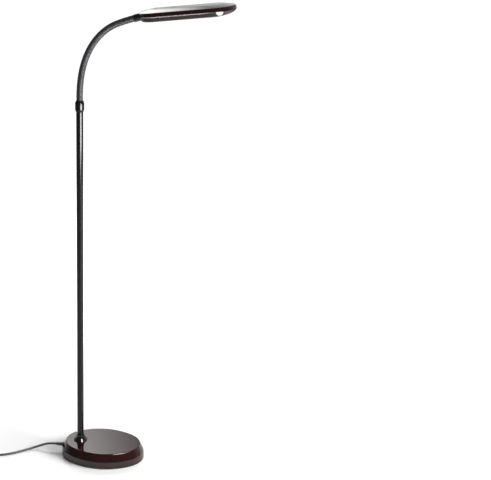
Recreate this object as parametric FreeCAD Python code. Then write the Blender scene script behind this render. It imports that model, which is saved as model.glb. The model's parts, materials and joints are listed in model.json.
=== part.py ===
"""Gooseneck floor lamp with a flat oval foot, a three-piece pole, a ribbed bending neck and a slim LED head.

Millimetres, +Z up. The origin is the centre of the foot's underside, on the floor.
+X runs along the foot's long side, the way the neck bends and the head points.
"""

import FreeCAD
import Part
import math
import os

# Sides of small round pieces
SHANK_SIDES = 6
STUB_SIDES = 8
SLEEVE_SIDES = 12

# Foot
FOOT_LENGTH = 250.0
FOOT_WIDTH = 174.0
FOOT_HEIGHT = 44.0
FOOT_END_RADIUS = 70.0
FOOT_CREASE_HEIGHT = 22.0
FOOT_CREASE_INSET = 2.0
FOOT_TOP_INSET = 13.5
FOOT_TOP_ROUND = 3.0
COVER_WALL = 2.5
COVER_RIM_Z = 1.0
PAD_THICKNESS = 2.0
PAD_INSET = 7.0
PLATE_THICKNESS = 4.0
PLATE_GAP = 0.6
BALLAST_LENGTH = 136.0
BALLAST_WIDTH = 34.0
BALLAST_HEIGHT = 22.0
BALLAST_GAP = 56.0
BALLAST_CHAMFER = 16.0
COVER_SCREW_SPOTS = ((90.0, 22.0), (90.0, -22.0), (-84.0, 36.0), (-84.0, -36.0))
COVER_POST_RADIUS = 4.5
COVER_ROOF_REACH = 20.0
SCREW_RADIUS = 2.0
SCREW_HEAD_RADIUS = 3.8
SCREW_HEAD_HEIGHT = 2.2
COVER_SCREW_LENGTH = 16.0

# Driver in the foot
DRIVER_LENGTH = 78.0
DRIVER_WIDTH = 42.0
DRIVER_HEIGHT = 20.0
DRIVER_CENTRE_X = 34.0

# Pole
POLE_FROM_REAR = 56.0
POLE_RADIUS = 9.5
POLE_WALL = 1.2
POLE_SECTIONS = 3
POLE_VISIBLE_LENGTH = 1007.0
SOCKET_FLANGE_SIDE = 48.0
SOCKET_FLANGE_THICKNESS = 3.0
SOCKET_TUBE_WALL = 1.8
SOCKET_TUBE_HEIGHT = 90.0
SOCKET_SCREW_SPACING = 34.0
SOCKET_SCREW_LENGTH = 6.4
COUPLER_LENGTH = 44.0
COUPLER_WALL = 2.0
FIT_GAP = 0.1
COLLAR_FOOT_RADIUS = 20.0
COLLAR_TOP_RADIUS = 11.0
COLLAR_SIDES = 24
COLLAR_HEIGHT = 19.0
COLLAR_LIP = 1.6
COLLAR_WAIST_RISE = 0.55
COLLAR_WAIST_SHARE = 0.35

# Ferrule between pole and neck
FERRULE_RADIUS = 12.4
FERRULE_END_WALL = 1.1
FERRULE_SIDES = 20
FERRULE_LENGTH = 31.0
FERRULE_TAPER = 6.5
FERRULE_SHELF_FROM_TOP = 15.0
FERRULE_SHELF_THICKNESS = 1.4

# Ribbed neck
NECK_RADIUS = 8.9
NECK_ROOT_RADIUS = 7.6
NECK_BORE_RADIUS = 5.2
NECK_SIDES = 10
NECK_BORE_SIDES = 6
LIP_RADIUS = 4.2
LIP_BORE_RADIUS = 3.4
LIP_REACH = 2.0
LIP_WEB = 1.4
NECK_JOINTS = 18
NECK_JOINT_PITCH = 16.2
NECK_FIRST_JOINT = 12.0
NECK_LINK_GAP = 1.8
RIBS_PER_LINK = 5
NECK_FIRST_TURN = 1.8
NECK_TURN_STEP = 0.39
NECK_RAMP_JOINTS = 15
NECK_TOTAL_TURN = 73.3

# Head
HEAD_LENGTH = 253.0
HEAD_WIDTH = 110.0
HEAD_TILT = 7.1
HEAD_REAR_RADIUS = 90.0
HEAD_CORNER_RADIUS = 42.0
SKIRT_FOOT_HEIGHT = 2.5
SKIRT_FOOT_INSET = 4.0
CREASE_HEIGHT = 12.5
SHELL_SHOULDER_HEIGHT = 22.5
SHELL_SHOULDER_INSET = 0.8
SHELL_CROWN_HEIGHT = 28.5
SHELL_CROWN_INSET = 32.0
SHELL_SHOULDER_ROUND = 7.0
SHELL_ROOF_REACH = 3.0
SHELL_WALL = 2.0
BEZEL_LIP_INSET = 4.6
BEZEL_RIM_INSET = 7.0
BEZEL_LAND = 1.0
BEZEL_WALL = 2.0
BEZEL_FLOOR_REACH = 2.0
DISH_DEPTH = 6.0
DISH_INSET = 11.5
NOSE_SWEEP_START = 190.0
NOSE_SWEEP_RISE = 7.5
WINDOW_FRONT_MARGIN = 20.0
WINDOW_REAR_MARGIN = 43.0
WINDOW_WIDTH = 79.0
WINDOW_CORNER_RADIUS = 14.0
DIFFUSER_LAP = 2.2
DIFFUSER_THICKNESS = 2.0
BOARD_RISE = 4.0
BOARD_LENGTH = 168.0
BOARD_WIDTH = 60.0
BOARD_THICKNESS = 1.6
LED_ROWS = 2
LED_COLUMNS = 8
LED_SIZE = 3.0
LED_HEIGHT = 0.9
LED_PITCH_X = 20.0
LED_PITCH_Y = 34.0
BOARD_SCREW_INSET = 6.0
BOARD_SCREW_BITE = 4.0
BOARD_SCREW_HEAD_RADIUS = 2.8
BOARD_SCREW_HEAD_HEIGHT = 1.0

# Boss that joins neck and head
BOSS_RADIUS = 10.4
BOSS_SIDES = 16
BOSS_NOSE_ANGLES = (0.0, 27.0, 54.0, 80.0)
BOSS_AXIS_HEIGHT = 10.4
BOSS_OUTSIDE = 14.0
BOSS_INSIDE = 27.0
BOSS_CLEARANCE = 0.4
BOSS_SEAT_DEPTH = 12.0
BOSS_NECK_SHOWN = 3.0
BOSS_WALL = 10.0
BOSS_WELL_LENGTH = 10.0
BOSS_WELL_RADIUS = 8.0
EAR_LEVEL = 12.0
EAR_X = 13.0
EAR_LENGTH = 10.0
EAR_THICKNESS = 3.0
EAR_HOLE_Y = 15.5
EAR_END = 4.0
EAR_POST_RADIUS = 3.4
EAR_SCREW_RADIUS = 1.5
EAR_SCREW_LENGTH = 8.0
EAR_SCREW_HEAD_RADIUS = 2.8
EAR_SCREW_HEAD_HEIGHT = 1.6
STUD_RADIUS = 5.0
STUD_BORE_RADIUS = 3.2
STUD_LENGTH = 16.0
NUT_RADIUS = 7.6
NUT_THICKNESS = 4.0

# Push switch
BUTTON_X = 27.5
BUTTON_Y = 27.5
BUTTON_RADIUS = 8.6
BUTTON_PROUD = 1.4
BUTTON_THICKNESS = 3.8
BUTTON_GAP = 0.35
BUTTON_TRAVEL = 1.0
BUTTON_RING_WIDTH = 1.5
BUTTON_RING_DEPTH = 0.4
BUTTON_RINGS = 2
BUTTON_SIDES = 20
BUTTON_FLANGE = 1.6
BUTTON_FLANGE_THICKNESS = 1.0
PLUNGER_RADIUS = 1.7
PLUNGER_LENGTH = 3.4
SWITCH_SIZE = 12.0
SWITCH_HEIGHT = 3.6
SWITCH_BOARD_LENGTH = 18.0
SWITCH_BOARD_WIDTH = 15.0
SWITCH_BOARD_SHIFT = 5.0

# Cord
CORD_RADIUS = 3.25
CORD_LENGTH = 1500.0
CORD_SIDES = 8
COIL_SIDES = 4
GLAND_HEIGHT = 22.0
GLAND_FLANGE_RADIUS = 7.0
GLAND_NECK_RADIUS = 5.2
GLAND_TIP_RADIUS = 4.2
GLAND_FLANGE_THICKNESS = 1.2
GLAND_SIDES = 12
GLAND_INNER_LENGTH = 9.5
BEND_SHARE = 0.45
CORD_ROUTE = (
    (-144.0, 0.0, 22.0),
    (-168.0, 0.0, 22.0),
    (-196.0, -1.0, 10.0),
    (-222.0, -10.0, 3.45),
    (-248.0, -31.0, 3.45),
    (-280.0, -51.5, 3.45),
    (-315.0, -63.0, 3.45),
    (-346.0, -71.5, 4.15),
    (-374.0, -75.7, 4.15),
)
COIL_TURNS_IN = 2.25
COIL_TURNS_OUT = 2.5
COIL_TURN_GAP = 0.65
COIL_STEP = 0.25
TANGENT_STEP = 0.0005
GAP_SAMPLES = 500
COIL_TAIL_LENGTH = 44.0
COIL_TAIL_SPREAD = 7.0
PLUG_LENGTH = 34.0
PLUG_WIDTH = 24.0
PLUG_HEIGHT = 16.0
PLUG_TAIL_LENGTH = 15.0
PLUG_TAIL_RADIUS = 4.6
PLUG_NOSE_RADIUS = 7.0
PLUG_CHAMFER = 4.0
BLADE_LENGTH = 16.0
BLADE_WIDTH = 6.3
BLADE_THICKNESS = 1.5
BLADE_PITCH = 12.7
TIE_WIDTH = 9.0
TIE_THICKNESS = 0.8
TIE_GAP = 0.5
TIE_TURN = 0.4

# Leads inside the lamp
LEAD_RADIUS = 2.0
LEAD_BEND = 14.0
LEAD_SLOT_WIDTH = 6.0
LEAD_SLOT_HEIGHT = 10.0
LEAD_LEVEL = 9.0
MAINS_LEAD_RADIUS = 1.8
MAINS_ROUTE = (
    (-31.0, 0.0, 22.0),
    (-15.0, 13.0, 20.0),
    (7.0, 18.5, 17.0),
    (35.0, 9.0, 16.0),
)

# Worked out from the sizes above
PLATE_Z = PAD_THICKNESS
PLATE_TOP = PLATE_Z + PLATE_THICKNESS
FLANGE_TOP = PLATE_TOP + SOCKET_FLANGE_THICKNESS
POLE_X = POLE_FROM_REAR - FOOT_LENGTH / 2
POLE_BORE = POLE_RADIUS - POLE_WALL
POLE_BOTTOM = FLANGE_TOP
FERRULE_BOTTOM = FOOT_HEIGHT + POLE_VISIBLE_LENGTH
FERRULE_TOP = FERRULE_BOTTOM + FERRULE_LENGTH
FERRULE_SHELF_TOP = FERRULE_TOP - FERRULE_SHELF_FROM_TOP
POLE_TOP = FERRULE_SHELF_TOP - FERRULE_SHELF_THICKNESS
POLE_SECTION_LENGTH = (POLE_TOP - POLE_BOTTOM) / POLE_SECTIONS
RIB_PITCH = NECK_JOINT_PITCH / RIBS_PER_LINK
BOSS_TILT = 90.0 - NECK_TOTAL_TURN - HEAD_TILT
WINDOW_LENGTH = HEAD_LENGTH - WINDOW_FRONT_MARGIN - WINDOW_REAR_MARGIN
DISH_WALL_TOP = DISH_DEPTH + BEZEL_WALL
BOARD_BOTTOM = DISH_WALL_TOP + DIFFUSER_THICKNESS + BOARD_RISE
BOARD_TOP = BOARD_BOTTOM + BOARD_THICKNESS
GLAND_INNER_END = GLAND_INNER_LENGTH - FOOT_LENGTH / 2


def vector(x, y, z):
    return FreeCAD.Vector(x, y, z)


X_AXIS = vector(1, 0, 0)
Y_AXIS = vector(0, 1, 0)
Z_AXIS = vector(0, 0, 1)


def centred_box(length, width, height, x, y, z):
    return Part.makeBox(length, width, height, vector(x - length / 2, y - width / 2, z))


def arc(start, middle, end):
    return Part.Arc(start, middle, end).toShape()


def line(start, end):
    return Part.LineSegment(start, end).toShape()


def placed(shape, placement):
    return shape.transformed(placement.toMatrix(), copy=True)


# Outlines are anticlockwise arcs (centre x, centre y, radius, first angle, last angle) with tangent
# straight stretches between those that don't meet. An inset keeps every centre.

def on_arc(piece, angle, inset, z):
    x, y, radius = piece[:3]
    turn = math.radians(angle)
    return vector(x + (radius - inset) * math.cos(turn), y + (radius - inset) * math.sin(turn), z)


def outline(arcs, inset, z):
    edges = []
    for index, piece in enumerate(arcs):
        first, last = piece[3:]
        end = on_arc(piece, last, inset, z)
        edges.append(arc(on_arc(piece, first, inset, z), on_arc(piece, (first + last) / 2, inset, z), end))
        following = arcs[(index + 1) % len(arcs)]
        start = on_arc(following, following[3], inset, z)
        if (start - end).Length > 0.001:
            edges.append(line(end, start))
    return Part.Wire(edges)


def prism(arcs, inset, z, height):
    return Part.Face(outline(arcs, inset, z)).extrude(vector(0, 0, height))


def wall(arcs, profile):
    """Wall that follows an outline, from its cross section as corners of (inset, z)."""
    stretches = []
    for index, piece in enumerate(arcs):
        first, last = piece[3:]
        corners = [on_arc(piece, first, inset, z) for inset, z in profile]
        face = Part.Face(Part.makePolygon(corners + corners[:1]))
        stretches.append(face.revolve(vector(piece[0], piece[1], 0), Z_AXIS, last - first))
        corners = [on_arc(piece, last, inset, z) for inset, z in profile]
        following = arcs[(index + 1) % len(arcs)]
        along = on_arc(following, following[3], 0, 0) - on_arc(piece, last, 0, 0)
        if along.Length > 0.001:
            stretches.append(Part.Face(Part.makePolygon(corners + corners[:1])).extrude(along))
    return stretches[0].fuse(stretches[1:]).removeSplitter()


def rounded(before, corner, after, radius, steps):
    """Points that stand in for a round of this radius at a corner of a cross section."""
    x, y = corner
    before_angle = math.atan2(before[1] - y, before[0] - x)
    after_angle = math.atan2(after[1] - y, after[0] - x)
    half = abs(after_angle - before_angle) / 2
    if half > math.pi / 2:
        half = math.pi - half
    middle_x = math.cos(before_angle) + math.cos(after_angle)
    middle_y = math.sin(before_angle) + math.sin(after_angle)
    away = radius / math.sin(half) / math.hypot(middle_x, middle_y)
    centre_x = x + middle_x * away
    centre_y = y + middle_y * away
    cut = radius / math.tan(half)
    start_x = x + cut * math.cos(before_angle)
    start_y = y + cut * math.sin(before_angle)
    start = math.atan2(start_y - centre_y, start_x - centre_x)
    end_x = x + cut * math.cos(after_angle)
    end_y = y + cut * math.sin(after_angle)
    swing = math.remainder(math.atan2(end_y - centre_y, end_x - centre_x) - start, 2 * math.pi)
    angles = [start + swing * i / steps for i in range(steps + 1)]
    return [(centre_x + radius * math.cos(a), centre_y + radius * math.sin(a)) for a in angles]


# Small round pieces have flat sides

def ring(radius, sides, x):
    """Corners of a regular polygon square to the X axis."""
    step = 2 * math.pi / sides
    return [vector(x, radius * math.cos(i * step), radius * math.sin(i * step)) for i in range(sides)]


def flat_face(corners):
    return Part.Face(Part.makePolygon(corners + corners[:1]))


def stack(profile, sides):
    """Many-sided solid along X through corners of (x, radius)."""
    rings = [ring(radius, sides, x) for x, radius in profile]
    faces = [flat_face(rings[0]), flat_face(rings[-1])]
    for near, far in zip(rings, rings[1:]):
        for i in range(sides):
            j = (i + 1) % sides
            faces.append(flat_face([near[i], near[j], far[j], far[i]]))
    shell = Part.makeShell(faces)
    shell.sewShape()
    solid = Part.makeSolid(shell)
    if solid.Volume < 0:
        solid.reverse()
    return solid


def bar(radius, sides, start, end):
    return stack([(start, radius), (end, radius)], sides)


def around(radius, sides):
    """Corner radius of the polygon whose flats are as far out as radius."""
    return radius / math.cos(math.pi / sides)


def upright(shape, x, y, z=0.0):
    """Turns a shape built along X to stand along Z."""
    return placed(shape, FreeCAD.Placement(vector(x, y, z), FreeCAD.Rotation(Y_AXIS, -90)))


def screw(head_radius, head_height, shank_radius, length):
    """Screw along X, from the face of its head."""
    head = bar(head_radius, STUB_SIDES, 0.0, head_height)
    return head.fuse(bar(shank_radius, SHANK_SIDES, head_height, length))


# Foot

def foot_arcs():
    """Oval of four tangent arcs."""
    end_x = FOOT_LENGTH / 2 - FOOT_END_RADIUS
    half_width = FOOT_WIDTH / 2
    spread = half_width - FOOT_END_RADIUS
    side_radius = (end_x ** 2 + half_width ** 2 - FOOT_END_RADIUS ** 2) / (2 * spread)
    side_y = side_radius - half_width
    meet = math.degrees(math.atan2(side_y, end_x))
    return [
        (end_x, 0, FOOT_END_RADIUS, -meet, meet),
        (0, -side_y, side_radius, meet, 180 - meet),
        (-end_x, 0, FOOT_END_RADIUS, 180 - meet, 180 + meet),
        (0, side_y, side_radius, 180 + meet, 360 - meet),
    ]


def base_cover():
    """Open shell: a nearly upright lower wall, a shoulder that slants in, and a flat roof."""
    roof = FOOT_HEIGHT - COVER_WALL
    core = FOOT_TOP_INSET + COVER_ROOF_REACH
    crease = (FOOT_CREASE_INSET, FOOT_CREASE_HEIGHT)
    edge = (FOOT_TOP_INSET, FOOT_HEIGHT)
    middle = (core, FOOT_HEIGHT)
    shoulder = rounded(crease, edge, middle, FOOT_TOP_ROUND, 2)
    cover = wall(foot_arcs(), [(0, COVER_RIM_Z), crease] + shoulder + [
        middle,
        (core, roof),
        (FOOT_TOP_INSET + COVER_WALL, roof),
        (FOOT_CREASE_INSET + COVER_WALL, FOOT_CREASE_HEIGHT),
        (COVER_WALL, COVER_RIM_Z),
    ])
    cover = cover.fuse(prism(foot_arcs(), core, roof, COVER_WALL)).removeSplitter()
    post = bar(COVER_POST_RADIUS, STUB_SIDES, PLATE_TOP, roof)
    screw_hole = bar(SCREW_RADIUS, SHANK_SIDES, PLATE_Z, PLATE_Z + COVER_SCREW_LENGTH)
    posts = [upright(post, x, y) for x, y in COVER_SCREW_SPOTS]
    holes = [upright(screw_hole, x, y) for x, y in COVER_SCREW_SPOTS]
    holes.append(Part.makeCylinder(POLE_RADIUS + FIT_GAP, FOOT_HEIGHT, vector(POLE_X, 0, COVER_RIM_Z)))
    gland_way = bar(GLAND_NECK_RADIUS + FIT_GAP, GLAND_SIDES, -FOOT_LENGTH / 2, GLAND_INNER_END)
    holes.append(gland_way.translated(vector(0, 0, GLAND_HEIGHT)))
    return cover.fuse(posts).cut(holes)


def base_plate():
    plate = prism(foot_arcs(), COVER_WALL + PLATE_GAP, PLATE_Z, PLATE_THICKNESS)
    hole = bar(SCREW_RADIUS + FIT_GAP, SHANK_SIDES, PLATE_Z, PLATE_TOP)
    recess = bar(SCREW_HEAD_RADIUS + FIT_GAP, STUB_SIDES, PLATE_Z, PLATE_Z + SCREW_HEAD_HEIGHT)
    cuts = [upright(hole, x, y) for x, y in COVER_SCREW_SPOTS + socket_screw_spots()]
    cuts += [upright(recess, x, y) for x, y in COVER_SCREW_SPOTS]
    return plate.cut(cuts)


def base_pad():
    return prism(foot_arcs(), PAD_INSET, 0.0, PAD_THICKNESS)


def base_ballast():
    """Two iron bars on the plate, one each side of the driver, with their outer corners cut off."""
    half = BALLAST_LENGTH / 2
    inner = BALLAST_GAP / 2
    outer = inner + BALLAST_WIDTH
    bars = []
    for side in (-1, 1):
        corners = [
            vector(-half, side * inner, PLATE_TOP),
            vector(half, side * inner, PLATE_TOP),
            vector(half, side * (outer - BALLAST_CHAMFER), PLATE_TOP),
            vector(half - BALLAST_CHAMFER, side * outer, PLATE_TOP),
            vector(BALLAST_CHAMFER - half, side * outer, PLATE_TOP),
            vector(-half, side * (outer - BALLAST_CHAMFER), PLATE_TOP),
        ]
        bars.append(flat_face(corners).extrude(vector(0, 0, BALLAST_HEIGHT)))
    return Part.makeCompound(bars)


def base_screws():
    piece = screw(SCREW_HEAD_RADIUS, SCREW_HEAD_HEIGHT, SCREW_RADIUS, COVER_SCREW_LENGTH)
    return Part.makeCompound([upright(piece, x, y, PLATE_Z) for x, y in COVER_SCREW_SPOTS])


def led_driver():
    return centred_box(DRIVER_LENGTH, DRIVER_WIDTH, DRIVER_HEIGHT, DRIVER_CENTRE_X, 0, PLATE_TOP)


# Pole

def socket_screw_spots():
    half = SOCKET_SCREW_SPACING / 2
    return tuple((POLE_X + sx * half, sy * half) for sx in (-1, 1) for sy in (-1, 1))


def lead_slot():
    """Way for the supply lead through the front of the socket and the pole's foot."""
    length = SOCKET_FLANGE_SIDE / 2
    return centred_box(length, LEAD_SLOT_WIDTH, LEAD_SLOT_HEIGHT, POLE_X + length / 2, 0, PLATE_TOP)


def sleeve(start, end, wall_thickness):
    """Tube that fits inside the pole."""
    outer = POLE_BORE - FIT_GAP
    tube = bar(outer, SLEEVE_SIDES, start, end).cut(bar(outer - wall_thickness, SLEEVE_SIDES, start, end))
    return upright(tube, POLE_X, 0)


def pole_socket():
    """Square flange on the plate, with a tube that the pole slides over."""
    side = SOCKET_FLANGE_SIDE
    flange = centred_box(side, side, SOCKET_FLANGE_THICKNESS, POLE_X, 0, PLATE_TOP)
    bore = bar(POLE_BORE - FIT_GAP - SOCKET_TUBE_WALL, SLEEVE_SIDES, PLATE_TOP, FLANGE_TOP)
    hole = bar(SCREW_RADIUS + FIT_GAP, SHANK_SIDES, PLATE_TOP, FLANGE_TOP)
    cuts = [upright(bore, POLE_X, 0), lead_slot()] + [upright(hole, x, y) for x, y in socket_screw_spots()]
    tube = sleeve(FLANGE_TOP, PLATE_TOP + SOCKET_TUBE_HEIGHT, SOCKET_TUBE_WALL)
    return flange.fuse(tube).cut(cuts).removeSplitter()


def socket_screws():
    length = SCREW_HEAD_HEIGHT + SOCKET_SCREW_LENGTH
    piece = screw(SCREW_HEAD_RADIUS, SCREW_HEAD_HEIGHT, SCREW_RADIUS, length)
    down = FreeCAD.Rotation(Y_AXIS, 90)
    top = FLANGE_TOP + SCREW_HEAD_HEIGHT
    places = [FreeCAD.Placement(vector(x, y, top), down) for x, y in socket_screw_spots()]
    return Part.makeCompound([placed(piece, place) for place in places])


def pole_section(index):
    foot = vector(POLE_X, 0, POLE_BOTTOM + index * POLE_SECTION_LENGTH)
    section = Part.makeCylinder(POLE_RADIUS, POLE_SECTION_LENGTH, foot)
    section = section.cut(Part.makeCylinder(POLE_BORE, POLE_SECTION_LENGTH, foot))
    if index == 0:
        section = section.cut(lead_slot())
    return section


def pole_coupler(index):
    joint = POLE_BOTTOM + index * POLE_SECTION_LENGTH
    return sleeve(joint - COUPLER_LENGTH / 2, joint + COUPLER_LENGTH / 2, COUPLER_WALL)


def pole_collar():
    """Flared collar that hides the hole where the pole enters the foot."""
    top = FOOT_HEIGHT + COLLAR_HEIGHT
    waist = COLLAR_TOP_RADIUS + COLLAR_WAIST_SHARE * (COLLAR_FOOT_RADIUS - COLLAR_TOP_RADIUS)
    collar = stack([
        (FOOT_HEIGHT, COLLAR_FOOT_RADIUS),
        (FOOT_HEIGHT + COLLAR_LIP, COLLAR_FOOT_RADIUS),
        (FOOT_HEIGHT + COLLAR_WAIST_RISE * COLLAR_HEIGHT, waist),
        (top, COLLAR_TOP_RADIUS),
    ], COLLAR_SIDES)
    bore = bar(around(POLE_RADIUS + FIT_GAP, COLLAR_SIDES), COLLAR_SIDES, FOOT_HEIGHT, top)
    return upright(collar.cut(bore), POLE_X, 0)


def neck_ferrule():
    """Barrel with a shelf inside: the pole stops under it and the neck stands on it."""
    pole_bore = around(POLE_RADIUS + FIT_GAP, FERRULE_SIDES)
    neck_bore = around(NECK_RADIUS + FIT_GAP, FERRULE_SIDES)
    barrel = stack([
        (FERRULE_BOTTOM, pole_bore + FERRULE_END_WALL),
        (FERRULE_BOTTOM + FERRULE_TAPER, FERRULE_RADIUS),
        (FERRULE_TOP - FERRULE_TAPER, FERRULE_RADIUS),
        (FERRULE_TOP, neck_bore + FERRULE_END_WALL),
    ], FERRULE_SIDES)
    barrel = barrel.cut([
        bar(pole_bore, FERRULE_SIDES, FERRULE_BOTTOM, POLE_TOP),
        bar(NECK_BORE_RADIUS, NECK_BORE_SIDES, POLE_TOP, FERRULE_SHELF_TOP),
        bar(neck_bore, FERRULE_SIDES, FERRULE_SHELF_TOP, FERRULE_TOP),
    ])
    return upright(barrel, POLE_X, 0)


def supply_lead():
    """Low-voltage lead from the driver, through the socket and up the pole to the neck."""
    start = vector(DRIVER_CENTRE_X - DRIVER_LENGTH / 2, 0, LEAD_LEVEL)
    foot = vector(POLE_X + LEAD_BEND, 0, LEAD_LEVEL)
    near = LEAD_BEND * (1 - math.sqrt(0.5))
    corner = vector(POLE_X + near, 0, LEAD_LEVEL + near)
    rise = vector(POLE_X, 0, LEAD_LEVEL + LEAD_BEND)
    end = vector(POLE_X, 0, FERRULE_SHELF_TOP)
    path = Part.Wire([line(start, foot), arc(foot, corner, rise), line(rise, end)])
    return path.makePipeShell([section_ring(LEAD_RADIUS, SHANK_SIDES, start, vector(-1, 0, 0))], True, False)


# Neck

def rest_turn(joint):
    """Degrees that the neck bends at one joint as the lamp stands: a steady ramp, then a short tail."""
    ramp = [NECK_FIRST_TURN + NECK_TURN_STEP * i for i in range(NECK_RAMP_JOINTS)]
    if joint < NECK_RAMP_JOINTS:
        return ramp[joint]
    return (NECK_TOTAL_TURN - sum(ramp)) / (NECK_JOINTS - NECK_RAMP_JOINTS)


def neck_joints():
    """Each joint's place, and the slope in degrees of the link that leaves it."""
    slope = 90.0
    x = POLE_X
    z = FERRULE_TOP + NECK_FIRST_JOINT
    joints = []
    for index in range(NECK_JOINTS):
        slope -= rest_turn(index)
        joints.append((x, z, slope))
        x += NECK_JOINT_PITCH * math.cos(math.radians(slope))
        z += NECK_JOINT_PITCH * math.sin(math.radians(slope))
    return joints


def ribbed_tube(length):
    """Ribbed tube along X from the origin, with a rib at each end and a bore all the way."""
    ribs = max(2, round((length + NECK_LINK_GAP) / RIB_PITCH))
    pitch = (length + NECK_LINK_GAP) / ribs
    profile = []
    for rib in range(ribs):
        start = rib * pitch
        end = start + pitch - NECK_LINK_GAP
        profile += [(start, NECK_RADIUS), (end, NECK_RADIUS), (end + NECK_LINK_GAP / 2, NECK_ROOT_RADIUS)]
    tube = stack(profile[:-1], NECK_SIDES)
    return tube.cut(bar(NECK_BORE_RADIUS, NECK_BORE_SIDES, 0.0, length))


def lipped_tube(length):
    """Ribbed tube with a narrower lip that reaches back over the joint into the bore behind."""
    start = -NECK_LINK_GAP / 2 - LIP_REACH
    web = bar(NECK_BORE_RADIUS, NECK_BORE_SIDES, 0.0, LIP_WEB)
    lip = bar(LIP_RADIUS, NECK_BORE_SIDES, start, LIP_WEB).fuse(web)
    lip = lip.cut(bar(LIP_BORE_RADIUS, NECK_BORE_SIDES, start, LIP_WEB))
    return ribbed_tube(length).fuse(lip).removeSplitter()


def slope_placement(x, z, slope):
    return FreeCAD.Placement(vector(x, 0, z), FreeCAD.Rotation(Y_AXIS, -slope))


def neck_links():
    joints = neck_joints()
    half_gap = NECK_LINK_GAP / 2
    root_length = FERRULE_TOP + NECK_FIRST_JOINT - half_gap - FERRULE_SHELF_TOP
    links = [placed(ribbed_tube(root_length), slope_placement(POLE_X, FERRULE_SHELF_TOP, 90.0))]
    shift = vector(half_gap, 0, 0)
    middle = lipped_tube(NECK_JOINT_PITCH - NECK_LINK_GAP).translated(shift)
    last = lipped_tube(BOSS_NECK_SHOWN + BOSS_SEAT_DEPTH).translated(shift)
    for index, (x, z, slope) in enumerate(joints):
        link = middle if index < NECK_JOINTS - 1 else last
        links.append(placed(link, slope_placement(x, z, slope)))
    return links


# Head, built flat: x from its rear end to its tip, z up from its lowest rim

def head_arcs():
    """Half-round front, and a rear end of one flat arc between two corner arcs."""
    half = HEAD_WIDTH / 2
    corner_y = half - HEAD_CORNER_RADIUS
    reach = HEAD_REAR_RADIUS - HEAD_CORNER_RADIUS
    corner_x = HEAD_REAR_RADIUS - math.sqrt(reach ** 2 - corner_y ** 2)
    lean = math.degrees(math.asin(corner_y / reach))
    return [
        (HEAD_LENGTH - half, 0, half, -90, 90),
        (corner_x, corner_y, HEAD_CORNER_RADIUS, 90, 180 - lean),
        (HEAD_REAR_RADIUS, 0, HEAD_REAR_RADIUS, 180 - lean, 180 + lean),
        (corner_x, -corner_y, HEAD_CORNER_RADIUS, 180 + lean, 270),
    ]


def window_arcs():
    """The lit window: half-round front, and a square rear with rounded corners."""
    half = WINDOW_WIDTH / 2
    corner_x = WINDOW_REAR_MARGIN + WINDOW_CORNER_RADIUS
    corner_y = half - WINDOW_CORNER_RADIUS
    return [
        (HEAD_LENGTH - WINDOW_FRONT_MARGIN - half, 0, half, -90, 90),
        (corner_x, corner_y, WINDOW_CORNER_RADIUS, 90, 180),
        (corner_x, -corner_y, WINDOW_CORNER_RADIUS, 180, 270),
    ]


def boss_tool(shape):
    """Puts a shape built along X on the boss's axis, with x = 0 at the head's rear end."""
    return placed(shape, slope_placement(0, BOSS_AXIS_HEIGHT, BOSS_TILT))


def boss_envelope(radius):
    """Barrel with a round nose."""
    nose = BOSS_INSIDE - BOSS_RADIUS
    profile = [(-BOSS_OUTSIDE, radius)]
    for angle in BOSS_NOSE_ANGLES:
        turn = math.radians(angle)
        profile.append((nose + radius * math.sin(turn), radius * math.cos(turn)))
    return boss_tool(stack(profile, BOSS_SIDES))


def within(piece, x, y):
    """Whether a point lies in the wedge between an arc's centre and its two ends."""
    angle = math.degrees(math.atan2(y - piece[1], x - piece[0]))
    return any(piece[3] <= angle + turn <= piece[4] for turn in (0, 360))


def shell_inner_height(x, y):
    """Height of the shell's inner face over a point: flat roof, or the slope down to the shoulder."""
    near = [piece for piece in head_arcs() if within(piece, x, y)]
    insets = [piece[2] - math.hypot(x - piece[0], y - piece[1]) for piece in near]
    inset = min(insets + [HEAD_WIDTH / 2 - abs(y), SHELL_CROWN_INSET])
    share = (inset - SHELL_SHOULDER_INSET) / (SHELL_CROWN_INSET - SHELL_SHOULDER_INSET)
    return SHELL_SHOULDER_HEIGHT + share * (SHELL_CROWN_HEIGHT - SHELL_SHOULDER_HEIGHT) - SHELL_WALL


def shell_post(x, y, foot, radius):
    """Screw post that hangs from the shell's roof down to the height foot."""
    return upright(bar(radius, STUB_SIDES, foot, shell_inner_height(x, y) + SHELL_WALL / 2), x, y)


def nose_sweep():
    """What is cut off below the nose so that its underside rises in a long curve to the tip."""
    run = HEAD_LENGTH - NOSE_SWEEP_START
    radius = (run ** 2 + NOSE_SWEEP_RISE ** 2) / (2 * NOSE_SWEEP_RISE)
    below = centred_box(2 * run, HEAD_WIDTH, NOSE_SWEEP_RISE, HEAD_LENGTH, 0, 0)
    barrel = Part.makeCylinder(radius, HEAD_WIDTH, vector(NOSE_SWEEP_START, -HEAD_WIDTH / 2, radius), Y_AXIS)
    return below.cut(barrel)


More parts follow.
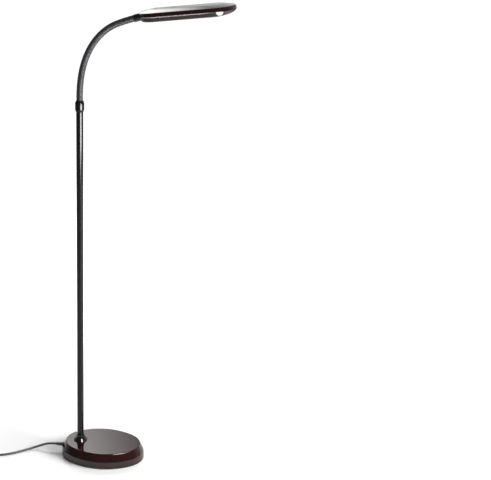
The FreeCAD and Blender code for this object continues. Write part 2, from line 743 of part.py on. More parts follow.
def head_top_shell():
    """Open shell: a skirt that leans out to a crease, a round shoulder, a gentle crown and a flat middle."""
    roof = SHELL_CROWN_HEIGHT - SHELL_WALL
    core = SHELL_CROWN_INSET + SHELL_ROOF_REACH
    foot = (SKIRT_FOOT_INSET, SKIRT_FOOT_HEIGHT)
    crease = (0, CREASE_HEIGHT)
    shoulder = (SHELL_SHOULDER_INSET, SHELL_SHOULDER_HEIGHT)
    crown = (SHELL_CROWN_INSET, SHELL_CROWN_HEIGHT)
    shell = wall(head_arcs(), [foot, crease] + rounded(crease, shoulder, crown, SHELL_SHOULDER_ROUND, 3) + [
        crown,
        (core, SHELL_CROWN_HEIGHT),
        (core, roof),
        (SHELL_CROWN_INSET, roof),
        (SHELL_SHOULDER_INSET + SHELL_SHOULDER_ROUND, SHELL_SHOULDER_HEIGHT - SHELL_WALL),
        (SHELL_WALL, CREASE_HEIGHT + SHELL_WALL),
        (SHELL_WALL, CREASE_HEIGHT),
        (SHELL_WALL + SKIRT_FOOT_INSET, SKIRT_FOOT_HEIGHT),
    ])
    shell = shell.fuse(prism(head_arcs(), core, roof, SHELL_WALL)).removeSplitter()
    ear_top = EAR_LEVEL + EAR_THICKNESS
    posts = [shell_post(x, y, BOARD_TOP, 2 * SCREW_RADIUS) for x, y in board_screw_spots()]
    posts += [shell_post(x, y, ear_top, EAR_POST_RADIUS) for x, y in ear_holes()]
    board_hole = bar(SCREW_RADIUS, SHANK_SIDES, BOARD_TOP, BOARD_TOP + BOARD_SCREW_BITE)
    ear_hole = bar(EAR_SCREW_RADIUS, SHANK_SIDES, ear_top, EAR_LEVEL + EAR_SCREW_LENGTH)
    cuts = [upright(board_hole, x, y) for x, y in board_screw_spots()]
    cuts += [upright(ear_hole, x, y) for x, y in ear_holes()]
    cuts += [nose_sweep(), boss_envelope(BOSS_RADIUS + BOSS_CLEARANCE)]
    return shell.fuse(posts).cut(cuts)


def bezel_fit(height):
    """Inset at which the bezel's outer face meets the inside of the shell's skirt."""
    share = (CREASE_HEIGHT - height) / (CREASE_HEIGHT - SKIRT_FOOT_HEIGHT)
    return SHELL_WALL + SKIRT_FOOT_INSET * share + FIT_GAP


def head_bezel():
    """Under-shell inside the skirt: a lip, a rim, a slope up to a sunk floor, and openings in the floor."""
    core = DISH_INSET + BEZEL_FLOOR_REACH
    bezel = wall(head_arcs(), [
        (BEZEL_RIM_INSET, 0),
        (BEZEL_LIP_INSET, SKIRT_FOOT_HEIGHT),
        (bezel_fit(SKIRT_FOOT_HEIGHT), SKIRT_FOOT_HEIGHT),
        (bezel_fit(DISH_WALL_TOP), DISH_WALL_TOP),
        (core, DISH_WALL_TOP),
        (core, DISH_DEPTH),
        (DISH_INSET, DISH_DEPTH),
        (BEZEL_RIM_INSET + BEZEL_LAND, 0),
    ])
    bezel = bezel.fuse(prism(head_arcs(), core, DISH_DEPTH, BEZEL_WALL)).removeSplitter()
    button_hole = bar(around(BUTTON_RADIUS + BUTTON_GAP, BUTTON_SIDES), BUTTON_SIDES, 0.0, DISH_WALL_TOP)
    return bezel.cut([
        nose_sweep(),
        prism(window_arcs(), 0.0, 0.0, DISH_WALL_TOP),
        upright(button_hole, BUTTON_X, BUTTON_Y),
        boss_envelope(BOSS_RADIUS + BOSS_CLEARANCE),
    ])


def diffuser():
    """Flat opal plate that lies on the bezel's floor and laps over the window's edge."""
    return prism(window_arcs(), -DIFFUSER_LAP, DISH_WALL_TOP, DIFFUSER_THICKNESS)


def window_centre_x():
    return WINDOW_REAR_MARGIN + WINDOW_LENGTH / 2


def board_screw_spots():
    half_x = BOARD_LENGTH / 2 - BOARD_SCREW_INSET
    half_y = BOARD_WIDTH / 2 - BOARD_SCREW_INSET
    return [(window_centre_x() + sx * half_x, sy * half_y) for sx in (-1, 1) for sy in (-1, 1)]


def led_board():
    board = centred_box(BOARD_LENGTH, BOARD_WIDTH, BOARD_THICKNESS, window_centre_x(), 0, BOARD_BOTTOM)
    hole = bar(SCREW_RADIUS + FIT_GAP, SHANK_SIDES, BOARD_BOTTOM, BOARD_TOP)
    return board.cut([upright(hole, x, y) for x, y in board_screw_spots()])


def led_chips():
    chips = []
    for column in range(LED_COLUMNS):
        for row in range(LED_ROWS):
            x = window_centre_x() + (column - (LED_COLUMNS - 1) / 2) * LED_PITCH_X
            y = (row - (LED_ROWS - 1) / 2) * LED_PITCH_Y
            chips.append(centred_box(LED_SIZE, LED_SIZE, LED_HEIGHT, x, y, BOARD_BOTTOM - LED_HEIGHT))
    return Part.makeCompound(chips)


def board_screws():
    length = BOARD_SCREW_HEAD_HEIGHT + BOARD_THICKNESS + BOARD_SCREW_BITE
    piece = screw(BOARD_SCREW_HEAD_RADIUS, BOARD_SCREW_HEAD_HEIGHT, SCREW_RADIUS, length)
    face = BOARD_BOTTOM - BOARD_SCREW_HEAD_HEIGHT
    return Part.makeCompound([upright(piece, x, y, face) for x, y in board_screw_spots()])


def ear_holes():
    return ((EAR_X, -EAR_HOLE_Y), (EAR_X, EAR_HOLE_Y))


def boss_ears():
    """Two flat ears inside the head, by which screws hold the boss up against the shell."""
    ears = centred_box(EAR_LENGTH, 2 * (EAR_HOLE_Y + EAR_END), EAR_THICKNESS, EAR_X, 0, EAR_LEVEL)
    hole = bar(EAR_SCREW_RADIUS + FIT_GAP, SHANK_SIDES, EAR_LEVEL, EAR_LEVEL + EAR_THICKNESS)
    return ears.cut([upright(hole, x, y) for x, y in ear_holes()])


def boss_well_start():
    return BOSS_SEAT_DEPTH + BOSS_WALL - BOSS_OUTSIDE


def neck_boss():
    """Round-ended boss with a seat for the neck, a well open upwards for the nut, and two ears."""
    start = boss_well_start()
    end = start + BOSS_WELL_LENGTH
    corner = vector(start, -BOSS_WELL_RADIUS, 0)
    mouth = Part.makeBox(BOSS_WELL_LENGTH, 2 * BOSS_WELL_RADIUS, 2 * BOSS_RADIUS, corner)
    seat_end = BOSS_SEAT_DEPTH - BOSS_OUTSIDE
    cuts = [
        bar(around(NECK_RADIUS + FIT_GAP, BOSS_SIDES), BOSS_SIDES, -BOSS_OUTSIDE, seat_end),
        bar(STUD_RADIUS + FIT_GAP, STUB_SIDES, seat_end, start),
        bar(BOSS_WELL_RADIUS, SLEEVE_SIDES, start, end),
        mouth,
    ]
    return boss_envelope(BOSS_RADIUS).fuse(boss_ears()).cut([boss_tool(cut) for cut in cuts])


def neck_stud():
    start = BOSS_SEAT_DEPTH - BOSS_OUTSIDE
    end = start + STUD_LENGTH
    stud = bar(STUD_RADIUS, STUB_SIDES, start, end)
    return boss_tool(stud.cut(bar(STUD_BORE_RADIUS, STUB_SIDES, start, end)))


def neck_nut():
    start = boss_well_start()
    end = start + NUT_THICKNESS
    nut = bar(NUT_RADIUS, SHANK_SIDES, start, end)
    return boss_tool(nut.cut(bar(STUD_RADIUS, STUB_SIDES, start, end)))


def boss_screws():
    length = EAR_SCREW_HEAD_HEIGHT + EAR_SCREW_LENGTH
    piece = screw(EAR_SCREW_HEAD_RADIUS, EAR_SCREW_HEAD_HEIGHT, EAR_SCREW_RADIUS, length)
    face = EAR_LEVEL - EAR_SCREW_HEAD_HEIGHT
    return Part.makeCompound([upright(piece, x, y, face) for x, y in ear_holes()])


# Push switch

def button_top():
    return DISH_DEPTH - BUTTON_PROUD + BUTTON_THICKNESS + BUTTON_FLANGE_THICKNESS


def switch_button():
    """Round cap with raised rings, and a flange inside that keeps it in its hole."""
    face = DISH_DEPTH - BUTTON_PROUD
    cap = bar(BUTTON_RADIUS, BUTTON_SIDES, face, face + BUTTON_THICKNESS)
    for index in range(BUTTON_RINGS):
        outer = BUTTON_RADIUS - BUTTON_RING_WIDTH * (2 * index + 1)
        floor = face + BUTTON_RING_DEPTH
        groove = bar(outer, BUTTON_SIDES, face, floor)
        cap = cap.cut(groove.cut(bar(outer - BUTTON_RING_WIDTH, BUTTON_SIDES, face, floor)))
    flange = bar(BUTTON_RADIUS + BUTTON_FLANGE, BUTTON_SIDES, face + BUTTON_THICKNESS, button_top())
    return upright(cap.fuse(flange), BUTTON_X, BUTTON_Y)


def switch_plunger():
    top = button_top()
    return upright(bar(PLUNGER_RADIUS, STUB_SIDES, top, top + PLUNGER_LENGTH), BUTTON_X, BUTTON_Y)


def switch_base():
    return button_top() + BUTTON_TRAVEL + BUTTON_GAP


def switch_body():
    z = switch_base()
    case = centred_box(SWITCH_SIZE, SWITCH_SIZE, SWITCH_HEIGHT, BUTTON_X, BUTTON_Y, z)
    well = bar(PLUNGER_RADIUS + BUTTON_GAP, STUB_SIDES, z, z + SWITCH_HEIGHT)
    return case.cut(upright(well, BUTTON_X, BUTTON_Y))


def switch_board():
    top = switch_base() + SWITCH_HEIGHT
    x = BUTTON_X + SWITCH_BOARD_SHIFT
    return centred_box(SWITCH_BOARD_LENGTH, SWITCH_BOARD_WIDTH, BOARD_THICKNESS, x, BUTTON_Y, top)


def head_placement():
    """Puts the head's rear end on the neck's last link, with the boss on the link's axis."""
    x, z, slope = neck_joints()[-1]
    reach = NECK_LINK_GAP / 2 + BOSS_NECK_SHOWN + BOSS_OUTSIDE
    along = vector(math.cos(math.radians(slope)), 0, math.sin(math.radians(slope)))
    tilt = slope - BOSS_TILT
    up = vector(-math.sin(math.radians(tilt)), 0, math.cos(math.radians(tilt)))
    corner = vector(x, 0, z) + along * reach - up * BOSS_AXIS_HEIGHT
    return slope_placement(corner.x, corner.z, tilt)


# Cord

def cord_gland():
    """Tapered strain relief, with a flange against the cover's rear wall."""
    rise = (GLAND_HEIGHT - GLAND_FLANGE_RADIUS - COVER_RIM_Z) / (FOOT_CREASE_HEIGHT - COVER_RIM_Z)
    rear = FOOT_CREASE_INSET * rise - FOOT_LENGTH / 2
    flange = rear - GLAND_FLANGE_THICKNESS
    gland = stack([
        (CORD_ROUTE[0][0], GLAND_TIP_RADIUS),
        (flange, GLAND_NECK_RADIUS),
        (flange, GLAND_FLANGE_RADIUS),
        (rear, GLAND_FLANGE_RADIUS),
        (rear, GLAND_NECK_RADIUS),
        (GLAND_INNER_END, GLAND_NECK_RADIUS),
    ], GLAND_SIDES)
    return gland.translated(vector(0, 0, GLAND_HEIGHT))


def routed(route):
    """Straight runs joined by tangent arcs as large as the runs allow, and the arcs' radii."""
    points = [vector(*p) for p in route]
    edges = []
    radii = []
    at = points[0]
    for before, corner, after in zip(points, points[1:], points[2:]):
        back = before - corner
        on = after - corner
        turn = math.pi - back.getAngle(on)
        cut = BEND_SHARE * min(back.Length, on.Length)
        radius = cut / math.tan(turn / 2)
        start = corner + back.normalize() * cut
        end = corner + on.normalize() * cut
        inward = (back + on).normalize()
        middle = corner + inward * (radius / math.cos(turn / 2) - radius)
        edges.append(line(at, start))
        edges.append(arc(start, middle, end))
        radii.append(radius)
        at = end
    edges.append(line(at, points[-1]))
    return Part.Wire(edges), radii


def section_ring(radius, sides, place, direction):
    """Many-sided ring square to a direction, with flats at top and bottom."""
    side = Z_AXIS.cross(direction).normalize()
    up = direction.cross(side).normalize()
    step = 2 * math.pi / sides
    corners = []
    for i in range(sides):
        angle = (i + 0.5) * step
        corners.append(place + side * (radius * math.cos(angle)) + up * (radius * math.sin(angle)))
    return Part.makePolygon(corners + corners[:1])


def swept(path, cord_radius, sides, place, direction):
    """Cord with the round one's section area, and its volume set against that area times its length."""
    area = math.pi * cord_radius ** 2
    corner_radius = math.sqrt(2 * area / (sides * math.sin(2 * math.pi / sides)))
    cord = path.makePipeShell([section_ring(corner_radius, sides, place, direction)], True, False)
    print("%.1f mm of cord, volume %.0f of %.0f mm3" % (path.Length, cord.Volume, area * path.Length))
    return cord


def route_start(route):
    return (vector(*route[1]) - vector(*route[0])).normalize()


def power_cord():
    path, radii = routed(CORD_ROUTE)
    print("cord bend radii:", ", ".join("%.0f" % r for r in radii), "mm; cord diameter", 2 * CORD_RADIUS)
    return swept(path, CORD_RADIUS, CORD_SIDES, vector(*CORD_ROUTE[0]), route_start(CORD_ROUTE))


def mains_lead():
    """The cord's pair of cores inside the foot, from the strain relief round the pole to the driver."""
    route = [(GLAND_INNER_END, 0.0, GLAND_HEIGHT)]
    route += [(POLE_X + x, y, z) for x, y, z in MAINS_ROUTE]
    route.append((DRIVER_CENTRE_X - DRIVER_LENGTH / 2, MAINS_ROUTE[-1][1], MAINS_ROUTE[-1][2]))
    path, radii = routed(route)
    bends = ", ".join("%.0f" % r for r in radii)
    print("mains lead bend radii:", bends, "mm; lead diameter", 2 * MAINS_LEAD_RADIUS)
    return swept(path, MAINS_LEAD_RADIUS, COIL_SIDES, vector(*route[0]), route_start(route))


def coil_pitch():
    return 2 * CORD_RADIUS + COIL_TURN_GAP


def coil_turns():
    return COIL_TURNS_IN + 0.5 + COIL_TURNS_OUT


def coil_length():
    """Cord in the spiral itself: what the free stretch, the coil's straight ends and its tail leave over."""
    free = routed(CORD_ROUTE)[0].Length
    return CORD_LENGTH - free - COIL_TAIL_LENGTH - 4 * CORD_RADIUS


def coil_inner_radius():
    widening = coil_pitch() * (COIL_TURNS_IN ** 2 + COIL_TURNS_OUT ** 2) / 2
    return (coil_length() / (2 * math.pi) - widening) / coil_turns()


def coil_state(turn, inner):
    """Radius and height at a number of turns from the start: inwards, up a layer, and outwards."""
    pitch = coil_pitch()
    level = CORD_ROUTE[-1][2]
    if turn <= COIL_TURNS_IN:
        return inner + pitch * (COIL_TURNS_IN - turn), level
    if turn <= COIL_TURNS_IN + 0.5:
        t = 2 * (turn - COIL_TURNS_IN)
        return inner - pitch / 2 * (t - t * t), level + pitch * (3 * t * t - 2 * t * t * t)
    return inner + pitch * (turn - COIL_TURNS_IN - 0.5), level + pitch


def coil_start():
    """Direction in which the cord runs into the coil, and the point where the turns begin."""
    last = vector(*CORD_ROUTE[-1])
    heading = (last - vector(*CORD_ROUTE[-2])).normalize()
    return heading, last + heading * (2 * CORD_RADIUS)


def coil_centre(inner):
    heading, begin = coil_start()
    return begin + vector(heading.y, -heading.x, 0) * coil_state(0.0, inner)[0]


def coil_point(turn, inner):
    """Point of the coil's centre line, which turns clockwise from above."""
    heading = coil_start()[0]
    centre = coil_centre(inner)
    radius, level = coil_state(turn, inner)
    angle = math.atan2(heading.x, -heading.y) - 2 * math.pi * turn
    return vector(centre.x + radius * math.cos(angle), centre.y + radius * math.sin(angle), level)


def coil_direction(turn, inner):
    if turn <= 0:
        return coil_start()[0]
    low = turn - TANGENT_STEP
    high = min(turn + TANGENT_STEP, coil_turns())
    return (coil_point(high, inner) - coil_point(low, inner)).normalize()


def tangent_arc(start, corner, end):
    """Arc from start to end whose two tangents meet at corner."""
    chord_middle = (start + end) * 0.5
    half = (end - start).Length / 2
    rise = (corner - chord_middle).Length
    radius = half * (corner - start).Length / rise
    sagitta = radius - math.sqrt(radius ** 2 - half ** 2)
    return arc(start, chord_middle + (corner - chord_middle) * (sagitta / rise), end)


def biarc(start, start_way, end, end_way):
    """Two arcs that leave start and reach end in the given directions."""
    span = end - start
    spread = 2 * (1 - start_way.dot(end_way))
    along = span.dot(start_way + end_way)
    reach = (math.sqrt(along ** 2 + spread * span.dot(span)) - along) / spread
    first = start + start_way * reach
    second = end - end_way * reach
    meet = (first + second) * 0.5
    return [tangent_arc(start, first, meet), tangent_arc(meet, second, end)]


def plug_start(inner):
    """Point where the cord enters the plug, and its direction there, after a tail that swings outwards."""
    end = coil_point(coil_turns(), inner)
    way = coil_direction(coil_turns(), inner)
    way.z = 0
    way = way.normalize()
    outwards = (end - coil_centre(inner))
    outwards.z = 0
    outwards = outwards.normalize()
    place = end + way * COIL_TAIL_LENGTH + outwards * COIL_TAIL_SPREAD
    place.z = PLUG_HEIGHT / 2
    heading = (way * COIL_TAIL_LENGTH + outwards * (2 * COIL_TAIL_SPREAD)).normalize()
    return place, heading


def coil_path(inner):
    """Straight in for one diameter, quarter turns as pairs of arcs, the tail, and straight out again."""
    heading, begin = coil_start()
    edges = [line(vector(*CORD_ROUTE[-1]), begin)]
    start = coil_point(0.0, inner)
    start_way = coil_direction(0.0, inner)
    for index in range(round(coil_turns() / COIL_STEP)):
        turn = (index + 1) * COIL_STEP
        end = coil_point(turn, inner)
        end_way = coil_direction(turn, inner)
        edges += biarc(start, start_way, end, end_way)
        start = end
        start_way = end_way
    place, way = plug_start(inner)
    edges += biarc(start, start_way, place, way)
    edges.append(line(place, place + way * (2 * CORD_RADIUS)))
    return Part.Wire(edges)


def coil_gap(path):
    """Least clear distance between parts of the coil that aren't neighbours along the cord."""
    points = path.discretize(GAP_SAMPLES)
    apart = math.ceil(3 * math.pi * CORD_RADIUS * GAP_SAMPLES / path.Length)
    pairs = [(a, b) for index, a in enumerate(points) for b in points[index + apart:]]
    return min((a - b).Length for a, b in pairs) - 2 * CORD_RADIUS


def power_cord_coil():
    inner = coil_inner_radius()
    path = coil_path(inner)
    coil = swept(path, CORD_RADIUS, COIL_SIDES, vector(*CORD_ROUTE[-1]), coil_start()[0])
    middle = coil_length() / (math.pi * coil_turns())
    print("coil: %.1f mm across the middle of its turns, centre" % middle, coil_centre(inner))
    print("coil gap to itself: %.2f mm" % coil_gap(path))
    return coil


def plug_placement():
    place, way = plug_start(coil_inner_radius())
    return FreeCAD.Placement(place + way * (2 * CORD_RADIUS), FreeCAD.Rotation(X_AXIS, way))


def plug_body():
    """Moulded plug, narrow where the cord goes in, lying on its flat side."""
    block_length = PLUG_LENGTH - PLUG_TAIL_LENGTH
    middle = PLUG_TAIL_LENGTH + block_length / 2
    body = centred_box(block_length, PLUG_WIDTH, PLUG_HEIGHT, middle, 0, -PLUG_HEIGHT / 2)
    lengthwise = [edge for edge in body.Edges if edge.BoundBox.XLength > block_length / 2]
    body = body.makeChamfer(PLUG_CHAMFER, lengthwise)
    tail = stack([(0.0, PLUG_TAIL_RADIUS), (PLUG_TAIL_LENGTH, PLUG_NOSE_RADIUS)], SLEEVE_SIDES)
    return placed(body.fuse(tail), plug_placement())


def plug_blades():
    blades = []
    for side in (-1, 1):
        x = PLUG_LENGTH + BLADE_LENGTH / 2
        y = side * BLADE_PITCH / 2
        blade = centred_box(BLADE_LENGTH, BLADE_THICKNESS, BLADE_WIDTH, x, y, -BLADE_WIDTH / 2)
        blades.append(placed(blade, plug_placement()))
    return Part.makeCompound(blades)


def cord_tie():
    """Strap that goes round all the turns at one side of the coil."""
    inner = coil_inner_radius()
    turns = [TIE_TURN + i for i in range(math.ceil(coil_turns() - TIE_TURN))]
    radii = [coil_state(turn, inner)[0] for turn in turns]
    near = min(radii) - CORD_RADIUS - TIE_GAP
    far = max(radii) + CORD_RADIUS + TIE_GAP
    top = CORD_ROUTE[-1][2] + coil_pitch() + CORD_RADIUS + TIE_GAP
    length = far - near
    middle = (near + far) / 2
    strap = centred_box(length + 2 * TIE_THICKNESS, TIE_WIDTH, top + TIE_THICKNESS, middle, 0, 0)
    room = centred_box(length, TIE_WIDTH, top - TIE_THICKNESS, middle, 0, TIE_THICKNESS)
    centre = coil_centre(inner)
    spoke = coil_point(TIE_TURN, inner) - centre
    spoke.z = 0
    turn = FreeCAD.Rotation(X_AXIS, spoke.normalize())
    return placed(strap.cut(room), FreeCAD.Placement(vector(centre.x, centre.y, 0), turn))


def save(name, shape):
    shape.exportStep("parts/%s.step" % name)


def main():
    os.makedirs("parts", exist_ok=True)
    stand = {
        "base_cover": base_cover(),
        "base_plate": base_plate(),
        "base_pad": base_pad(),
        "base_ballast": base_ballast(),
        "base_screws": base_screws(),
        "led_driver": led_driver(),
        "pole_socket": pole_socket(),
        "socket_screws": socket_screws(),
        "pole_collar": pole_collar(),
        "pole_lower": pole_section(0),
        "pole_middle": pole_section(1),
        "pole_upper": pole_section(2),
        "pole_coupler_lower": pole_coupler(1),
        "pole_coupler_upper": pole_coupler(2),
        "neck_ferrule": neck_ferrule(),
        "supply_lead": supply_lead(),
        "mains_lead": mains_lead(),
        "cord_gland": cord_gland(),
        "power_cord": power_cord(),
        "power_cord_coil": power_cord_coil(),
        "cord_tie": cord_tie(),
        "plug_body": plug_body(),
        "plug_blades": plug_blades(),
    }
    for name, shape in stand.items():
        save(name, shape)
    for index, link in enumerate(neck_links()):
        save("neck_link_%02d" % (index + 1), link)
    head = {
        "head_top_shell": head_top_shell(),
        "head_bezel": head_bezel(),
        "diffuser": diffuser(),
        "led_board": led_board(),
        "led_chips": led_chips(),
        "board_screws": board_screws(),
        "neck_boss": neck_boss(),
        "neck_stud": neck_stud(),
        "neck_nut": neck_nut(),
        "boss_screws": boss_screws(),
        "switch_button": switch_button(),
        "switch_plunger": switch_plunger(),
        "switch_body": switch_body(),
        "switch_board": switch_board(),
    }
    for name, shape in head.items():
        save(name, placed(shape, head_placement()))
    for index, (x, z, slope) in enumerate(neck_joints()):
        print("joint %02d at x %.3f z %.3f, link slope %.3f" % (index + 1, x, z, slope))
    print("head corner:", head_placement())


main()
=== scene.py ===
"""Looks of the gooseneck floor lamp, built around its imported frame.

Shapes are worked out in millimetres, as in the frame's source, and put into metres as each mesh is made.
+Z is up, +X the way the neck bends and the head points, and the origin is under the middle of the foot.
"""

import json
import math

import bmesh
import bpy
from mathutils import Matrix, Vector

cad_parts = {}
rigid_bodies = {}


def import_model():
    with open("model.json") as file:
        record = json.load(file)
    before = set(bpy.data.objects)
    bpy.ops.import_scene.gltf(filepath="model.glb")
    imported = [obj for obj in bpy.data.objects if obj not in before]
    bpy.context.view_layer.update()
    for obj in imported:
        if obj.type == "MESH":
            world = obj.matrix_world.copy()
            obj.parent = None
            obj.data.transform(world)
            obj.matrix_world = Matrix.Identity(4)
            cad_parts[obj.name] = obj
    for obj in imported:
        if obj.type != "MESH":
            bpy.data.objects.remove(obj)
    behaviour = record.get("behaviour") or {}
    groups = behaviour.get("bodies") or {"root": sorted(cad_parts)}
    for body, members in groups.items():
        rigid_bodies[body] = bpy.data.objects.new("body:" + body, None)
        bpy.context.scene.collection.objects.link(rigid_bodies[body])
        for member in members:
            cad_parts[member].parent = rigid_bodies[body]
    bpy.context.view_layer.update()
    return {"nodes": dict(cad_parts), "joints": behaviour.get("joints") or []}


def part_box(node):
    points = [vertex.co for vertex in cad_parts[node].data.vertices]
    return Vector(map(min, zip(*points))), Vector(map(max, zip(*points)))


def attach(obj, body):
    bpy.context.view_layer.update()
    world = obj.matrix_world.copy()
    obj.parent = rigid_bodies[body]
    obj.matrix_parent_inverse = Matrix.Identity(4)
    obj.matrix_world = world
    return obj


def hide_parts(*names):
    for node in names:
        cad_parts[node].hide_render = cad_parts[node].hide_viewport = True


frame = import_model()

MM = 0.001

# Meshes
AXIS_RADIUS = 0.01
MERGE_DISTANCE = 1e-7
OUTLINE_MERGE_DISTANCE = 0.01
SEAM_MERGE_DISTANCE = 2e-6
SHARP_ANGLE = 35.0
HOSE_SHARP_ANGLE = 60.0
PLUG_SHARP_ANGLE = 40.0
ROUND_STEP = math.radians(9)
TURNED_SIDES = 64
DRILL_SPARE = 5.0

# Foot
FOOT_LENGTH = 250.0
FOOT_WIDTH = 174.0
FOOT_HEIGHT = 44.0
FOOT_END_RADIUS = 70.0
FOOT_RIM_Z = 1.0
FOOT_CREASE_HEIGHT = 22.0
FOOT_CREASE_INSET = 2.0
FOOT_TOP_INSET = 13.5
FOOT_WALL = 2.5
FOOT_FLAT = 22.0
PAD_INSET = 7.0
PAD_THICKNESS = 2.0
PAD_FLAT = 20.0

# Pole, collar and ferrule
POLE_X = -69.0
POLE_RADIUS = 9.5
POLE_WALL = 1.2
POLE_GAP = 0.1
POLE_SIDES = 96
COLLAR_FOOT_RADIUS = 20.0
COLLAR_TOP_RADIUS = 11.0
COLLAR_HEIGHT = 19.0
COLLAR_RIM = 1.6
COLLAR_FLARE = 2.2
FERRULE_RADIUS = 12.4
FERRULE_TAPER = 6.5
FERRULE_MOUTH_WALL = 1.1
FERRULE_POLE_SEAT = 14.6
FERRULE_NECK_SEAT = 16.0

# Neck
NECK_RADIUS = 8.9
NECK_ROOT_RADIUS = 8.4
NECK_JOINT_PITCH = 16.2
RIBS_PER_JOINT = 8
HINGE_BALL_RADIUS = 8.25
RIB_SAMPLES = 10
RIB_SHARPNESS = 0.55
NECK_SIDES = 48
PATH_RESOLUTION = 64
STRAIGHT_TURN = 1e-4
BALL_SEGMENTS = 32
BALL_RINGS = 16

# Head, in its own frame: x from its rear end to its tip, z up from its lowest rim
HEAD_LENGTH = 253.0
HEAD_WIDTH = 110.0
HEAD_REAR_RADIUS = 90.0
HEAD_CORNER_RADIUS = 42.0
HEAD_TILT = 7.1
HEAD_STEP = 2.5
SKIRT_FOOT_HEIGHT = 2.5
SKIRT_FOOT_INSET = 4.0
CREASE_HEIGHT = 12.5
SHELL_SHOULDER_HEIGHT = 22.5
SHELL_SHOULDER_INSET = 0.8
SHELL_CROWN_HEIGHT = 28.5
SHELL_CROWN_INSET = 32.0
CROWN_FLAT = 8.0
SHELL_WALL = 2.0
BEZEL_LIP_INSET = 4.6
BEZEL_RIM_INSET = 7.0
BEZEL_LAND = 1.0
BEZEL_WALL = 2.0
BEZEL_GAP = 0.1
DISH_DEPTH = 6.0
DISH_INSET = 11.5
DISH_FLAT = 2.0
NOSE_SWEEP_START = 190.0
NOSE_SWEEP_RISE = 7.5
# Painted highlight: a pale line painted along the side's crease in place of a reflection
PAINTED_HIGHLIGHT_HEIGHT = 12.3
PAINTED_HIGHLIGHT_WIDTH = 3.2
PAINTED_HIGHLIGHT_START = 8.0
PAINTED_HIGHLIGHT_END = 215.0
PAINTED_HIGHLIGHT_REAR_FADE = 8.0
PAINTED_HIGHLIGHT_FRONT_FADE = 60.0
PAINTED_HIGHLIGHT_COLOUR = (168, 156, 160)
WINDOW_FRONT_MARGIN = 20.0
WINDOW_REAR_MARGIN = 43.0
WINDOW_WIDTH = 79.0
WINDOW_CORNER_RADIUS = 14.0
WINDOW_LAND = 1.2
WINDOW_FLAT = 12.0
DIFFUSER_LAP = 2.2
DIFFUSER_THICKNESS = 2.0
BOSS_RADIUS = 10.4
BOSS_TILT = 9.6
BOSS_AXIS_HEIGHT = 10.4
BOSS_OUTSIDE = 14.0
BOSS_INSIDE = 27.0
BOSS_CLEARANCE = 0.4
BOSS_SEAT_DEPTH = 12.0
BOSS_SEAT_GAP = 0.15
BOSS_NOSE_STEP = 6
BOSS_MOUTH_ROUND = 0.8
BOSS_SIDES = 72
BOSS_NECK_SHOWN = 3.0
NECK_LINK_HALF_GAP = 0.9
BUTTON_X = 27.5
BUTTON_Y = 27.5
BUTTON_RADIUS = 8.6
BUTTON_PROUD = 1.4
BUTTON_THICKNESS = 3.8
BUTTON_FLANGE = 1.6
BUTTON_FLANGE_THICKNESS = 1.0
BUTTON_GROOVE = 0.6
BUTTON_SIDES = 80
BUTTON_GAP = 0.35

# Cord: the route is the frame's own, point by point
CORD_RADIUS = 3.25
CORD_GAP = 0.05
CORD_ROUND_STEPS = 6
CORD_PATH_STEPS = 8
CORD_ROUTE = (
    (-144.0, 0.0, 22.0),
    (-168.0, 0.0, 22.0),
    (-196.0, -1.0, 10.0),
    (-222.0, -10.0, 3.45),
    (-248.0, -31.0, 3.45),
    (-280.0, -51.5, 3.45),
    (-315.0, -63.0, 3.45),
    (-346.0, -71.5, 4.15),
    (-374.0, -75.7, 4.15),
)
COIL_TURNS_IN = 2.25
COIL_TURNS_UP = 0.5
COIL_TURNS_OUT = 2.5
COIL_TURNS = COIL_TURNS_IN + COIL_TURNS_UP + COIL_TURNS_OUT
COIL_SMALL_TURN = 0.001
COIL_PITCH = 7.15
COIL_INNER_RADIUS = 28.45
COIL_POINTS_PER_TURN = 16
COIL_TAIL_LENGTH = 44.0
COIL_TAIL_SPREAD = 7.0
GLAND_TIP_RADIUS = 4.2
GLAND_NECK_RADIUS = 5.2
GLAND_FLANGE_RADIUS = 7.0
GLAND_FLANGE_THICKNESS = 1.2
GLAND_REAR_INSET = 1.33
GLAND_RIBS = 5
GLAND_RIB_SHARE = 0.55
GLAND_RIB_HEIGHT = 0.7
GLAND_MARGIN = 1.5
GLAND_SIDES = 48
PLUG_LENGTH = 34.0
PLUG_WIDTH = 24.0
PLUG_HEIGHT = 16.0
PLUG_TAIL_LENGTH = 15.0
PLUG_LEAD_IN = 16.0
PLUG_OVERLAP = 2.0
PLUG_SIDES = 48
BLADE_LENGTH = 16.0
BLADE_WIDTH = 6.3
BLADE_THICKNESS = 1.5
BLADE_CORNER = 1.4
BLADE_PITCH = 12.7

# Finishes
MOTTLE_DETAIL = 4.0
MOTTLE_SPREAD = (0.3, 0.7)
SKIN_DETAIL = 3.0
WEAR_SCALE = 2.3

# Room: brightness, 1 being white
FLOOR_REACH = 14.0
FLOOR_ROUGHNESS = 0.9
FLOOR_SPECULAR = 0.1
FLOOR_SHADE = 0.8
FLOOR_LIFT_NEAR = 0.0
FLOOR_LIFT_FAR = 0.92
FLOOR_LIFT_START = 0.22
FLOOR_LIFT_END = 1.1
ROOM_LIGHT = 0.2
ROOM_FRONT = 0.12
ROOM_BACK = 0.62
ROOM_FRONT_END = -0.3
ROOM_BACK_START = 0.5
GLINT_BRIGHTNESS = 28.0

# Camera
CAMERA_PLACE = (0.4608, -2.6558, 1.6713)
CAMERA_AZIMUTH = 5.34
CAMERA_ELEVATION = 19.935
CAMERA_ROLL = 1.88
CAMERA_LENS = 74.9
CAMERA_SHIFT = 0.1336


# Cross sections are lists of corners (a, b, radius of the round there)

